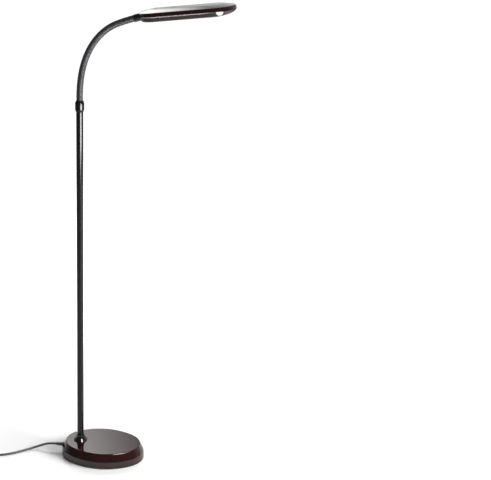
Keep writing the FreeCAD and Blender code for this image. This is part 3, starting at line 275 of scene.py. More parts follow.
def rounded(corners, closed):
    """Points of a cross section, with its corners turned into arcs."""
    points = []
    last = len(corners) - 1
    for index, (x, y, radius) in enumerate(corners):
        at_end = not closed and index in (0, last)
        if radius == 0 or at_end:
            points.append((x, y))
            continue
        corner = Vector((x, y))
        before = (Vector(corners[index - 1][:2]) - corner).normalized()
        after = (Vector(corners[(index + 1) % len(corners)][:2]) - corner).normalized()
        half = before.angle(after) / 2
        run = radius / math.tan(half)
        centre = corner + (before + after).normalized() * (radius / math.sin(half))
        start = corner + before * run - centre
        end = corner + after * run - centre
        swing = start.angle(end)
        count = max(2, math.ceil(swing / ROUND_STEP))
        for i in range(count + 1):
            share = i / count
            a = math.sin((1 - share) * swing) / math.sin(swing)
            b = math.sin(share * swing) / math.sin(swing)
            points.append(tuple(centre + start * a + end * b))
    return points


def quads(rings, closed_section):
    """Faces between rings of equal point counts, and caps on an open section."""
    count = len(rings[0])
    total = len(rings) * count
    faces = []
    last = len(rings) if closed_section else len(rings) - 1
    for r in range(last):
        a = r * count
        b = (a + count) % total
        for i in range(count):
            j = (i + 1) % count
            faces.append((a + i, a + j, b + j, b + i))
    if not closed_section:
        faces.append(tuple(range(count)))
        faces.append(tuple(range(total - count, total)))
    return faces


def linked(name, data):
    obj = bpy.data.objects.new(name, data)
    bpy.context.scene.collection.objects.link(obj)
    return obj


def shade(mesh, sharp):
    """Smooth shading but for edges of more than this angle."""
    mesh.shade_smooth()
    mesh.set_sharp_from_angle(angle=math.radians(sharp))


def welded(name, bm, merge, sharp):
    """Object from a bmesh whose doubled points are merged and whose faces are turned outwards."""
    bmesh.ops.remove_doubles(bm, verts=bm.verts, dist=merge)
    bmesh.ops.recalc_face_normals(bm, faces=bm.faces)
    mesh = bpy.data.meshes.new(name)
    bm.to_mesh(mesh)
    bm.free()
    shade(mesh, sharp)
    return linked(name, mesh)


def solid(name, points, faces, sharp=SHARP_ANGLE):
    """Object from points in millimetres."""
    mesh = bpy.data.meshes.new(name)
    mesh.from_pydata([Vector(p) * MM for p in points], [], faces)
    bm = bmesh.new()
    bm.from_mesh(mesh)
    bpy.data.meshes.remove(mesh)
    return welded(name, bm, MERGE_DISTANCE, sharp)


def skinned(name, rings, closed, sharp=SHARP_ANGLE):
    """Object whose surface runs through rings of points in millimetres."""
    return solid(name, [p for ring in rings for p in ring], quads(rings, closed), sharp)


def turned(name, corners, place, closed=True, sides=TURNED_SIDES):
    """Turned piece from its section as (distance along the axis, radius); place puts the X axis right."""
    rings = []
    for along, radius in rounded(corners, closed):
        ring = []
        for i in range(sides):
            angle = 2 * math.pi * i / sides
            ring.append(place @ Vector((along, radius * math.cos(angle), radius * math.sin(angle))))
        rings.append(ring)
    return skinned(name, rings, closed)


def slope_matrix(place, degrees):
    """Puts a piece drawn along X at a place, raised by an angle."""
    return Matrix.Translation(place) @ Matrix.Rotation(math.radians(-degrees), 4, "Y")


def upright(x, y):
    """Puts a piece drawn along X on end."""
    return slope_matrix((x, y, 0), 90)


def drill(start, end, radius, place):
    """Round bar along the place's X axis, to cut a hole with."""
    corners = [(start, AXIS_RADIUS, 0), (start, radius, 0), (end, radius, 0), (end, AXIS_RADIUS, 0)]
    return turned("drill", corners, place, closed=False)


def applied(obj, sharp):
    """Gives an object the mesh that its modifiers make, without the modifiers."""
    graph = bpy.context.evaluated_depsgraph_get()
    old = obj.data
    obj.data = bpy.data.meshes.new_from_object(obj.evaluated_get(graph))
    obj.modifiers.clear()
    bpy.data.meshes.remove(old)
    shade(obj.data, sharp)
    return obj


def cut(obj, cutter):
    """Takes the cutter's solid out of a piece."""
    modifier = obj.modifiers.new("cut", "BOOLEAN")
    modifier.operation = "DIFFERENCE"
    modifier.solver = "EXACT"
    modifier.object = cutter
    applied(obj, SHARP_ANGLE)
    bpy.data.objects.remove(cutter)
    return obj


# Outlines are arcs (centre x, centre y, radius, first angle, last angle), as in the frame's source

def outline(arcs, inset, step=3.0):
    points = []
    for x, y, radius, first, last in arcs:
        count = max(2, round((last - first) / step))
        for i in range(count + 1):
            turn = math.radians(first + (last - first) * i / count)
            point = Vector((x + (radius - inset) * math.cos(turn), y + (radius - inset) * math.sin(turn)))
            if not points or (point - points[-1]).length > OUTLINE_MERGE_DISTANCE:
                points.append(point)
    if (points[0] - points[-1]).length < OUTLINE_MERGE_DISTANCE:
        points.pop()
    return points


def followed(name, arcs, corners, place, step=3.0, height=None):
    """Piece whose open section, as (inset, z), follows an outline all the way round; height may bend it."""
    rings = []
    for inset, z in rounded(corners, closed=False):
        ring = outline(arcs, inset, step)
        rings.append([place @ Vector((p.x, p.y, height(inset, z, p.x) if height else z)) for p in ring])
    return skinned(name, rings, closed=False)


def foot_arcs():
    end_x = FOOT_LENGTH / 2 - FOOT_END_RADIUS
    half = FOOT_WIDTH / 2
    side_radius = (end_x ** 2 + half ** 2 - FOOT_END_RADIUS ** 2) / (2 * (half - FOOT_END_RADIUS))
    side_y = side_radius - half
    meet = math.degrees(math.atan2(side_y, end_x))
    return [
        (end_x, 0, FOOT_END_RADIUS, -meet, meet),
        (0, -side_y, side_radius, meet, 180 - meet),
        (-end_x, 0, FOOT_END_RADIUS, 180 - meet, 180 + meet),
        (0, side_y, side_radius, 180 + meet, 360 - meet),
    ]


def head_arcs():
    half = HEAD_WIDTH / 2
    corner_y = half - HEAD_CORNER_RADIUS
    reach = HEAD_REAR_RADIUS - HEAD_CORNER_RADIUS
    corner_x = HEAD_REAR_RADIUS - math.sqrt(reach ** 2 - corner_y ** 2)
    lean = math.degrees(math.asin(corner_y / reach))
    return [
        (HEAD_LENGTH - half, 0, half, -90, 90),
        (corner_x, corner_y, HEAD_CORNER_RADIUS, 90, 180 - lean),
        (HEAD_REAR_RADIUS, 0, HEAD_REAR_RADIUS, 180 - lean, 180 + lean),
        (corner_x, -corner_y, HEAD_CORNER_RADIUS, 180 + lean, 270),
    ]


def window_arcs():
    half = WINDOW_WIDTH / 2
    corner_x = WINDOW_REAR_MARGIN + WINDOW_CORNER_RADIUS
    corner_y = half - WINDOW_CORNER_RADIUS
    return [
        (HEAD_LENGTH - WINDOW_FRONT_MARGIN - half, 0, half, -90, 90),
        (corner_x, corner_y, WINDOW_CORNER_RADIUS, 90, 180),
        (corner_x, -corner_y, WINDOW_CORNER_RADIUS, 180, 270),
    ]


# Where things are, read from the frame's joints

def span(node, axis):
    """Where a node begins and ends along an axis, in millimetres."""
    low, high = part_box(node)
    return getattr(low, axis) / MM, getattr(high, axis) / MM


def raised(degrees):
    """Direction in the neck's plane, this many degrees above level."""
    angle = math.radians(degrees)
    return Vector((math.cos(angle), 0, math.sin(angle)))


def neck_joints():
    return [joint for joint in frame["joints"] if joint["type"] == "hinge"]


def neck_hinges():
    """Hinge places up the neck, in millimetres."""
    return [Vector(joint["pos_m"]) / MM for joint in neck_joints()]


def head_matrix():
    """Puts the head's own frame on the neck's last link."""
    along = raised(HEAD_TILT + BOSS_TILT)
    up = raised(HEAD_TILT + 90)
    reach = NECK_LINK_HALF_GAP + BOSS_NECK_SHOWN + BOSS_OUTSIDE
    return slope_matrix(neck_hinges()[-1] + along * reach - up * BOSS_AXIS_HEIGHT, HEAD_TILT)


HEAD = head_matrix()


# Node trees

def feed(tree, value, socket):
    """Links a socket to another node's output, or sets it to a plain value."""
    if isinstance(value, bpy.types.NodeSocket):
        tree.links.new(value, socket)
    else:
        socket.default_value = value


def fill(tree, node, inputs):
    """Feeds a node's inputs by their names."""
    for name, value in inputs.items():
        feed(tree, value, node.inputs[name])


def add(tree, kind, inputs=None, **settings):
    """New node with its settings and its inputs."""
    node = tree.nodes.new(kind)
    for name, value in settings.items():
        setattr(node, name, value)
    fill(tree, node, inputs or {})
    return node


def maths(tree, operation, *values):
    """Output of a maths node on sockets or plain numbers."""
    node = add(tree, "ShaderNodeMath", operation=operation)
    for value, socket in zip(values, node.inputs):
        feed(tree, value, socket)
    return node.outputs[0]


def hypotenuse(tree, a, b):
    squares = [maths(tree, "MULTIPLY", side, side) for side in (a, b)]
    return maths(tree, "SQRT", maths(tree, "ADD", *squares))


def ramp(tree, value, none, full, low=0.0, high=1.0, kind="SMOOTHSTEP"):
    """Rise from low where the value is none to high where it is full."""
    inputs = {"Value": value, "From Min": none, "From Max": full, "To Min": low, "To Max": high}
    return add(tree, "ShaderNodeMapRange", inputs, interpolation_type=kind).outputs["Result"]


def mixed(tree, share, first, second, kind="RGBA"):
    """Mix of two colours, or of two numbers where the kind is FLOAT."""
    inputs = {"Factor": share, "A": first, "B": second}
    return add(tree, "ShaderNodeMix", inputs, data_type=kind).outputs["Result"]


def noise(tree, scale, detail):
    """Noise on the piece's own coordinates."""
    place = add(tree, "ShaderNodeTexCoord").outputs["Object"]
    inputs = {"Vector": place, "Scale": scale, "Detail": detail}
    return add(tree, "ShaderNodeTexNoise", inputs).outputs["Fac"]


# Node groups that more than one material uses

def group(name, output, kind, **inputs):
    """Group with named number inputs and one output; returns it with the sockets that it feeds."""
    tree = bpy.data.node_groups.new(name, "ShaderNodeTree")
    for label, default in inputs.items():
        socket = tree.interface.new_socket(label, in_out="INPUT", socket_type="NodeSocketFloat")
        socket.default_value = default
    tree.interface.new_socket(output, in_out="OUTPUT", socket_type=kind)
    return tree, tree.nodes.new("NodeGroupOutput").inputs


def use_group(tree, shared, **values):
    """Output of a group placed with its own values."""
    return add(tree, "ShaderNodeGroup", values, node_tree=shared).outputs[0]


def mottle_group():
    """Slow uneven patches: a value between Low and High."""
    tree, leave = group("mottle", "Value", "NodeSocketFloat", Scale=30.0, Low=0.2, High=0.3)
    given = tree.nodes.new("NodeGroupInput").outputs
    patches = noise(tree, given["Scale"], MOTTLE_DETAIL)
    feed(tree, ramp(tree, patches, *MOTTLE_SPREAD, given["Low"], given["High"], "LINEAR"), leave[0])
    return tree


def skin_group():
    """Fine unevenness of a moulded or painted surface, as a normal."""
    tree, leave = group("skin", "Normal", "NodeSocketVector", Scale=400.0, Depth=0.00002, Strength=0.2)
    given = tree.nodes.new("NodeGroupInput").outputs
    grain = noise(tree, given["Scale"], SKIN_DETAIL)
    inputs = {"Height": grain, "Distance": given["Depth"], "Strength": given["Strength"]}
    bump = add(tree, "ShaderNodeBump", inputs)
    feed(tree, bump.outputs["Normal"], leave[0])
    return tree


def head_place_group():
    """Place in metres in the head's own frame, along its length, across it and up from its lowest rim."""
    tree, leave = group("head_place", "Place", "NodeSocketVector")
    mapping = add(tree, "ShaderNodeMapping", {
        "Vector": add(tree, "ShaderNodeTexCoord").outputs["Object"],
        "Location": HEAD.to_translation() * MM,
        "Rotation": (0, -math.radians(HEAD_TILT), 0),
    }, vector_type="TEXTURE")
    feed(tree, mapping.outputs["Vector"], leave[0])
    return tree


def window_group(head_place):
    """Distance from the lit window's edge in metres, positive outside it."""
    tree, leave = group("window_distance", "Distance", "NodeSocketFloat")
    place = add(tree, "ShaderNodeSeparateXYZ", {"Vector": use_group(tree, head_place)}).outputs
    half = WINDOW_WIDTH / 2 * MM
    corner = WINDOW_CORNER_RADIUS * MM
    front_x = (HEAD_LENGTH - WINDOW_FRONT_MARGIN) * MM - half
    rear_x = (WINDOW_REAR_MARGIN + WINDOW_CORNER_RADIUS) * MM
    side = maths(tree, "ABSOLUTE", place["Y"])
    ahead = maths(tree, "MAXIMUM", maths(tree, "SUBTRACT", place["X"], front_x), 0.0)
    front = maths(tree, "SUBTRACT", hypotenuse(tree, ahead, side), half)
    behind = maths(tree, "MAXIMUM", maths(tree, "SUBTRACT", rear_x, place["X"]), 0.0)
    beside = maths(tree, "MAXIMUM", maths(tree, "SUBTRACT", side, half - corner), 0.0)
    rear = maths(tree, "SUBTRACT", hypotenuse(tree, behind, beside), corner)
    feed(tree, maths(tree, "MAXIMUM", front, rear), leave[0])
    return tree


MOTTLE = mottle_group()
SKIN = skin_group()
HEAD_PLACE = head_place_group()
WINDOW = window_group(HEAD_PLACE)


# Materials: colours are written as on a screen, 0 to 255

def linear(red, green, blue):
    """Colour for a shader's socket."""
    channels = []
    for channel in (red, green, blue):
        c = channel / 255
        channels.append(c / 12.92 if c <= 0.04045 else ((c + 0.055) / 1.055) ** 2.4)
    return (*channels, 1.0)


def finish_material(name, dark, light, smoothest, roughest, metallic=0.0, mottle=30.0,
                    skin=(400.0, 0.00001, 0.15), specular=0.5):
    """Material with uneven colour and roughness and a fine skin, of this scale, depth and strength."""
    material = bpy.data.materials.new(name)
    material.use_nodes = True
    tree = material.node_tree
    shader = tree.nodes["Principled BSDF"]
    patches = use_group(tree, MOTTLE, Scale=mottle, Low=0.0, High=1.0)
    scale, depth, strength = skin
    fill(tree, shader, {
        "Base Color": mixed(tree, patches, linear(*dark), linear(*light)),
        "Roughness": use_group(tree, MOTTLE, Scale=mottle * WEAR_SCALE, Low=smoothest, High=roughest),
        "Normal": use_group(tree, SKIN, Scale=scale, Depth=depth, Strength=strength),
        "Metallic": metallic,
        "Specular IOR Level": specular,
    })
    return material, tree, shader


# Each finish: its darker and lighter colour, its least and most roughness, and what else sets it apart
FINISHES = {
    "foot_gloss": ((30, 11, 9), (37, 15, 12), 0.05, 0.08, {}),
    "pole_paint": ((16, 15, 16), (20, 19, 20), 0.12, 0.18, {"mottle": 60.0, "specular": 0.25}),
    "collar_gloss": ((16, 13, 14), (21, 17, 18), 0.06, 0.1, {}),
    "neck_black": ((54, 54, 57), (62, 62, 66), 0.34, 0.46, {"mottle": 90.0, "specular": 0.3}),
    "boss_black": ((20, 18, 18), (25, 23, 23), 0.1, 0.16, {}),
    "switch_black": ((30, 30, 31), (36, 36, 37), 0.4, 0.5, {}),
    "plain_steel": ((150, 152, 156), (172, 173, 176), 0.26, 0.4, {"metallic": 1.0}),
    "ballast_iron": ((52, 50, 49), (70, 67, 64), 0.6, 0.8, {
        "metallic": 0.7, "mottle": 80.0, "skin": (260.0, 0.0003, 0.6)}),
    "pad_rubber": ((24, 24, 25), (33, 33, 34), 0.8, 0.95, {"skin": (900.0, 0.0002, 0.6), "specular": 0.3}),
    "driver_case": ((205, 205, 200), (215, 215, 211), 0.4, 0.5, {}),
    "board_aluminium": ((224, 226, 226), (234, 236, 235), 0.3, 0.4, {"metallic": 0.2}),
    "board_green": ((24, 74, 40), (30, 90, 48), 0.2, 0.3, {"mottle": 200.0}),
    "cord_black": ((50, 50, 51), (60, 60, 61), 0.42, 0.52, {"mottle": 50.0, "skin": (1200.0, 0.00004, 0.3)}),
    "tie_fabric": ((26, 26, 28), (44, 44, 46), 0.85, 0.95, {"mottle": 600.0, "skin": (1500.0, 0.0003, 0.8)}),
    "plug_black": ((34, 34, 36), (42, 42, 44), 0.4, 0.5, {"skin": (900.0, 0.00006, 0.4)}),
    "blade_brass": ((196, 172, 120), (212, 190, 140), 0.22, 0.34, {"metallic": 1.0}),
    "button_gold": ((214, 160, 44), (232, 184, 70), 0.16, 0.26, {"metallic": 1.0, "mottle": 200.0}),
}


def glow(tree, shader, inner, outer, near, far, strength):
    """Light given off, in a colour that goes from inner to outer as the window's edge gets further away: the
    lamp's own light on the window, a painted glow on the bezel.
    """
    share = ramp(tree, use_group(tree, WINDOW), near, far)
    fill(tree, shader, {
        "Emission Color": mixed(tree, share, linear(*inner), linear(*outer)),
        "Emission Strength": strength,
    })


def head_material():
    """Brown gloss with a painted highlight: a pale line on the crease of the straight sides, which fades
    before the nose.
    """
    material, tree, shader = finish_material("head_brown", (26, 11, 11), (32, 14, 13), 0.05, 0.08,
                                             specular=0.42)
    place = add(tree, "ShaderNodeSeparateXYZ", {"Vector": use_group(tree, HEAD_PLACE)}).outputs
    # Painted highlight along the crease, faded in at the rear end and out before the nose
    off = maths(tree, "ABSOLUTE", maths(tree, "SUBTRACT", place["Z"], PAINTED_HIGHLIGHT_HEIGHT * MM))
    highlight_mask = ramp(tree, off, PAINTED_HIGHLIGHT_WIDTH / 2 * MM, PAINTED_HIGHLIGHT_WIDTH / 4 * MM)
    for first, last in ((PAINTED_HIGHLIGHT_START, PAINTED_HIGHLIGHT_START + PAINTED_HIGHLIGHT_REAR_FADE), (PAINTED_HIGHLIGHT_END, PAINTED_HIGHLIGHT_END - PAINTED_HIGHLIGHT_FRONT_FADE)):
        highlight_mask = maths(tree, "MULTIPLY", highlight_mask, ramp(tree, place["X"], first * MM, last * MM))
    brown = shader.inputs["Base Color"].links[0].from_socket
    fill(tree, shader, {"Base Color": mixed(tree, highlight_mask, brown, linear(*PAINTED_HIGHLIGHT_COLOUR))})
    return material


def opal_material():
    material, tree, shader = finish_material("opal", (246, 244, 234), (250, 248, 240), 0.35, 0.42)
    glow(tree, shader, (255, 254, 246), (240, 236, 214), near=-0.034, far=0.0, strength=1.1)
    return material


def bezel_material():
    """Black, with the window's light painted on the dish around it as a glow."""
    material, tree, shader = finish_material("bezel_black", (26, 24, 24), (33, 31, 31), 0.28, 0.36,
                                             skin=(700.0, 0.00003, 0.3))
    # Painted glow: the window's light on the dish is given off by the black bezel itself
    glow(tree, shader, (105, 102, 88), (0, 0, 0), near=0.0, far=0.013, strength=1.0)
    return material


def led_material():
    material, tree, shader = finish_material("led_yellow", (236, 214, 96), (244, 224, 120), 0.3, 0.4)
    fill(tree, shader, {"Emission Color": linear(255, 246, 214), "Emission Strength": 2.0})
    return material


LOOKS = {
    "head_brown": head_material(),
    "opal": opal_material(),
    "bezel_black": bezel_material(),
    "led_yellow": led_material(),
}
for finish_name, (*finish_values, finish_options) in FINISHES.items():
    LOOKS[finish_name] = finish_material(finish_name, *finish_values, **finish_options)[0]

# Nodes that show as the frame has them, by finish
CAD_NODES = {
    "plain_steel": ("base_plate", "base_screws", "pole_socket", "socket_screws", "pole_coupler_lower",
                    "pole_coupler_upper", "board_screws", "neck_stud", "neck_nut", "boss_screws"),
    "ballast_iron": ("base_ballast",),
    "driver_case": ("led_driver",),
    "cord_black": ("supply_lead", "mains_lead"),
    "tie_fabric": ("cord_tie",),
    "board_aluminium": ("led_board",),
    "led_yellow": ("led_chips",),
    "switch_black": ("switch_plunger", "switch_body"),
    "board_green": ("switch_board",),
}


def dress_cad_nodes():
    for finish, names in CAD_NODES.items():
        for name in names:
            mesh = frame["nodes"][name].data
            mesh.materials.clear()
            mesh.materials.append(LOOKS[finish])


def finish_piece(obj, slot, body, *nodes):
    """Gives a piece the material of its slot's name, and puts it on its body in place of its nodes."""
    obj.data.materials.clear()
    obj.data.materials.append(LOOKS[slot])
    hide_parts(*nodes)
    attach(obj, body)
    return obj


# Foot

def foot_cover():
    """Hollow cover with a crease half way up and a flat top, with a hole for the pole."""
    roof = FOOT_HEIGHT - FOOT_WALL
    cover = followed("foot_cover", foot_arcs(), [
        (FOOT_TOP_INSET + FOOT_FLAT, roof, 0),
        (FOOT_TOP_INSET + FOOT_WALL, roof, 1.5),
        (FOOT_CREASE_INSET + FOOT_WALL, FOOT_CREASE_HEIGHT, 3),
        (FOOT_WALL, FOOT_RIM_Z, 0.3),
        (0, FOOT_RIM_Z, 0.8),
        (FOOT_CREASE_INSET, FOOT_CREASE_HEIGHT, 9),
        (FOOT_TOP_INSET, FOOT_HEIGHT, 3.2),
        (FOOT_TOP_INSET + 6, FOOT_HEIGHT, 0),
        (FOOT_TOP_INSET + FOOT_FLAT, FOOT_HEIGHT, 0),
    ], Matrix.Identity(4), step=2.0)
    hole = drill(roof - DRILL_SPARE, FOOT_HEIGHT + DRILL_SPARE, POLE_RADIUS + POLE_GAP, upright(POLE_X, 0))
    finish_piece(cut(cover, hole), "foot_gloss", "stand", "base_cover")


def foot_pad():
    pad = followed("foot_pad", foot_arcs(), [
        (PAD_INSET + PAD_FLAT, 0, 0),
        (PAD_INSET, 0, 0.7),
        (PAD_INSET, PAD_THICKNESS, 0),
        (PAD_INSET + PAD_FLAT, PAD_THICKNESS, 0),
    ], Matrix.Identity(4))
    finish_piece(pad, "pad_rubber", "stand", "base_pad")


# Pole

def pole_section(name):
    bottom, top = span(name, "z")
    section = turned(name.replace("pole", "pole_tube"), [
        (bottom, POLE_RADIUS - POLE_WALL, 0.2),
        (bottom, POLE_RADIUS, 0.35),
        (top, POLE_RADIUS, 0.35),
        (top, POLE_RADIUS - POLE_WALL, 0.2),
    ], upright(POLE_X, 0), sides=POLE_SIDES)
    finish_piece(section, "pole_paint", "stand", name)


def collar():
    top = FOOT_HEIGHT + COLLAR_HEIGHT
    bore = POLE_RADIUS + POLE_GAP
    piece = turned("pole_flare", [
        (FOOT_HEIGHT, bore, 0),
        (FOOT_HEIGHT, COLLAR_FOOT_RADIUS, 0.3),
        (FOOT_HEIGHT + COLLAR_RIM, COLLAR_FOOT_RADIUS, 0.6),
        (FOOT_HEIGHT + 0.5 * COLLAR_HEIGHT, COLLAR_TOP_RADIUS + COLLAR_FLARE, 22),
        (top, COLLAR_TOP_RADIUS, 0.5),
        (top, bore, 0.3),
    ], upright(POLE_X, 0), sides=POLE_SIDES)
    finish_piece(piece, "collar_gloss", "stand", "pole_collar")


def ferrule():
    bottom, top = span("neck_ferrule", "z")
    piece = turned("neck_barrel", [
        (bottom, POLE_RADIUS + POLE_GAP, 0.3),
        (bottom, POLE_RADIUS + FERRULE_MOUTH_WALL, 0.4),
        (bottom + FERRULE_TAPER, FERRULE_RADIUS, 6),
        (top - FERRULE_TAPER, FERRULE_RADIUS, 6),
        (top, NECK_RADIUS + FERRULE_MOUTH_WALL, 0.4),
        (top, NECK_RADIUS + POLE_GAP, 0.3),
        (bottom + FERRULE_NECK_SEAT, NECK_RADIUS + POLE_GAP, 0),
        (bottom + FERRULE_POLE_SEAT, POLE_RADIUS + POLE_GAP, 0),
    ], upright(POLE_X, 0), sides=POLE_SIDES)
    finish_piece(piece, "pole_paint", "stand", "neck_ferrule")


# Neck: one tree makes every stretch of ribbed hose, with a ball at its end that fills the gap in a bend

def rib_tree():
    tree = bpy.data.node_groups.new("ribbed_hose", "GeometryNodeTree")
    for kind, names in (
        ("Vector", ("Start", "Middle", "End")),
        ("Float", ("Ribs", "First Rib", "Root Radius", "Rib Height", "Ball Radius")),
        ("Int", ("Samples", "Sides")),
        ("Material", ("Material",)),
    ):
        for name in names:
            tree.interface.new_socket(name, in_out="INPUT", socket_type="NodeSocket" + kind)
    tree.interface.new_socket("Geometry", in_out="OUTPUT", socket_type="NodeSocketGeometry")
    given = tree.nodes.new("NodeGroupInput").outputs
    ends = {name: given[name] for name in ("Start", "Middle", "End")}
    path = add(tree, "GeometryNodeCurveQuadraticBezier", {"Resolution": PATH_RESOLUTION, **ends})
    even = add(tree, "GeometryNodeResampleCurve", {
        "Curve": path.outputs["Curve"], "Count": given["Samples"]})
    along = add(tree, "GeometryNodeSplineParameter").outputs["Factor"]
    phase = maths(tree, "ADD", maths(tree, "MULTIPLY", along, given["Ribs"]), given["First Rib"])
    swing = maths(tree, "ABSOLUTE", maths(tree, "SINE", maths(tree, "MULTIPLY", phase, math.pi)))
    rise = maths(tree, "MULTIPLY", maths(tree, "POWER", swing, RIB_SHARPNESS), given["Rib Height"])
    profile = add(tree, "GeometryNodeCurvePrimitiveCircle", {"Resolution": given["Sides"], "Radius": 1.0})
    hose = add(tree, "GeometryNodeCurveToMesh", {
        "Curve": even.outputs["Curve"],
        "Profile Curve": profile.outputs["Curve"],
        "Scale": maths(tree, "ADD", rise, given["Root Radius"]),
        "Fill Caps": True,
    })
    ball = add(tree, "GeometryNodeMeshUVSphere", {
        "Segments": BALL_SEGMENTS, "Rings": BALL_RINGS, "Radius": given["Ball Radius"]})
    at_end = add(tree, "GeometryNodeTransform", {
        "Geometry": ball.outputs["Mesh"], "Translation": given["End"]})
    both = add(tree, "GeometryNodeJoinGeometry", {"Geometry": hose.outputs["Mesh"]})
    fill(tree, both, {"Geometry": at_end.outputs["Geometry"]})
    real = add(tree, "GeometryNodeRealizeInstances", {"Geometry": both.outputs["Geometry"]})
    paint = add(tree, "GeometryNodeSetMaterial", {
        "Geometry": real.outputs["Geometry"], "Material": given["Material"]})
    add(tree, "NodeGroupOutput", {"Geometry": paint.outputs["Geometry"]})
    return tree


def hose_stretch(name, tree, start, middle, end, ribs, first_rib):
    """Plain mesh of one stretch of hose, from points in millimetres."""
    obj = linked(name, bpy.data.meshes.new(name))
    modifier = obj.modifiers.new("ribs", "NODES")
    modifier.node_group = tree
    values = {
        "Start": start * MM, "Middle": middle * MM, "End": end * MM,
        "Ribs": ribs, "First Rib": first_rib, "Samples": math.ceil(ribs * RIB_SAMPLES) + 1,
        "Root Radius": NECK_ROOT_RADIUS * MM, "Rib Height": (NECK_RADIUS - NECK_ROOT_RADIUS) * MM,
        "Ball Radius": HINGE_BALL_RADIUS * MM,
        "Sides": NECK_SIDES, "Material": LOOKS["neck_black"],
    }
    for item in tree.interface.items_tree:
        if item.in_out == "INPUT":
            modifier[item.identifier] = values[item.name]
    return applied(obj, HOSE_SHARP_ANGLE)


def bend_point(start, way_in, end, way_out):
    """Where the lines along the hose at its two ends cross, or the middle if it is straight."""
    turn = way_in.cross(way_out).length
    if turn < STRAIGHT_TURN:
        return (start + end) / 2
    along = (end - start).cross(way_out).length / turn
    return start + way_in * along


def neck():
    """A stretch of hose for each link of the neck, from hinge to hinge, with ribs' grooves at the hinges."""
    tree = rib_tree()
    hinges = neck_hinges()
    joints = neck_joints()
    bodies = [joints[0]["parent"]] + [joint["child"] for joint in joints]
    last_way = raised(HEAD_TILT + BOSS_TILT)
    chords = [Vector((0, 0, 1))] + [(b - a).normalized() for a, b in zip(hinges, hinges[1:])] + [last_way]
    ways = [chords[0]] + [(a + b).normalized() for a, b in zip(chords, chords[1:])] + [last_way]
    start = Vector((POLE_X, 0, span("neck_link_01", "z")[0]))
    end = hinges[-1] + last_way * (NECK_LINK_HALF_GAP + BOSS_NECK_SHOWN + BOSS_SEAT_DEPTH)
    points = [start] + hinges + [end]
    rib = NECK_JOINT_PITCH / RIBS_PER_JOINT
    for index, body in enumerate(bodies):
        start, end = points[index], points[index + 1]
        middle = bend_point(start, ways[index], end, ways[index + 1])
        inner = 0 < index < len(bodies) - 1
        ribs = RIBS_PER_JOINT if inner else (end - start).length / rib
        first_rib = -ribs if index == 0 else 0
        piece = hose_stretch("neck_hose_%02d" % (index + 1), tree, start, middle, end, ribs, first_rib)
        finish_piece(piece, "neck_black", body, "neck_link_%02d" % (index + 1))


# Head

def boss_place():
    return HEAD @ slope_matrix((0, 0, BOSS_AXIS_HEIGHT), BOSS_TILT)


def boss_form(name, radius, mouth_round):
    """Barrel with a round nose, from its mouth to the nose's tip."""
    nose = BOSS_INSIDE - BOSS_RADIUS
    corners = [(-BOSS_OUTSIDE, AXIS_RADIUS, 0), (-BOSS_OUTSIDE, radius, mouth_round), (nose, radius, 0)]
    for angle in range(BOSS_NOSE_STEP, 90, BOSS_NOSE_STEP):
        turn = math.radians(angle)
        corners.append((nose + radius * math.sin(turn), radius * math.cos(turn), 0))
    corners.append((nose + radius, AXIS_RADIUS, 0))
    return turned(name, corners, boss_place(), closed=False, sides=BOSS_SIDES)


def nose_lift(inset, z, x):
    """Height of a section's point once the nose's underside is swept up towards the tip."""
    run = HEAD_LENGTH - NOSE_SWEEP_START
    rise = NOSE_SWEEP_RISE * (max(0, x - NOSE_SWEEP_START) / run) ** 2
    top = DISH_DEPTH if inset > BEZEL_RIM_INSET + BEZEL_LAND / 2 else CREASE_HEIGHT
    return z + rise * max(0, 1 - z / top)


def head_shell():
    """Skirt that leans out to a crease, upright side, round shoulder and gentle crown."""
    roof = SHELL_CROWN_HEIGHT - SHELL_WALL
    shell = followed("head_shell", head_arcs(), [
        (SHELL_CROWN_INSET + CROWN_FLAT, roof, 0),
        (SHELL_CROWN_INSET, roof, 40),
        (SHELL_SHOULDER_INSET + 7, SHELL_SHOULDER_HEIGHT - SHELL_WALL, 5),
        (SHELL_WALL, CREASE_HEIGHT + 3, 2),
        (SHELL_WALL, CREASE_HEIGHT, 0.5),
        (SHELL_WALL + SKIRT_FOOT_INSET, SKIRT_FOOT_HEIGHT, 0.2),
        (SKIRT_FOOT_INSET, SKIRT_FOOT_HEIGHT, 0.5),
        (0, CREASE_HEIGHT, 1.5),
        (SHELL_SHOULDER_INSET, SHELL_SHOULDER_HEIGHT, 5),
        (SHELL_CROWN_INSET, SHELL_CROWN_HEIGHT, 60),
        (SHELL_CROWN_INSET + CROWN_FLAT, SHELL_CROWN_HEIGHT, 0),
        (SHELL_CROWN_INSET + CROWN_FLAT + 6, SHELL_CROWN_HEIGHT, 0),
    ], HEAD, step=HEAD_STEP, height=nose_lift)
    cut(shell, boss_form("boss_way", BOSS_RADIUS + BOSS_CLEARANCE, 0))
    finish_piece(shell, "head_brown", "head", "head_top_shell")


def pierced_face(bm, loops, z, place):
    """Flat face at height z whose first loop is its edge and whose others are holes."""
    edges = []
    for loop in loops:
        verts = [bm.verts.new(place @ Vector((p[0], p[1], z)) * MM) for p in loop]
        edges += [bm.edges.new((verts[i], verts[(i + 1) % len(verts)])) for i in range(len(verts))]
    bmesh.ops.triangle_fill(bm, use_beauty=True, use_dissolve=False, edges=edges,
                            normal=place.to_3x3() @ Vector((0, 0, 1)))


def circle(x, y, radius, sides=TURNED_SIDES):
    return [(x + radius * math.cos(2 * math.pi * i / sides), y + radius * math.sin(2 * math.pi * i / sides))
            for i in range(sides)]


def bezel_fit(height):
    """Inset at which the under-shell's outer face meets the inside of the skirt."""
    share = (CREASE_HEIGHT - height) / (CREASE_HEIGHT - SKIRT_FOOT_HEIGHT)
    return SHELL_WALL + SKIRT_FOOT_INSET * share + BEZEL_GAP


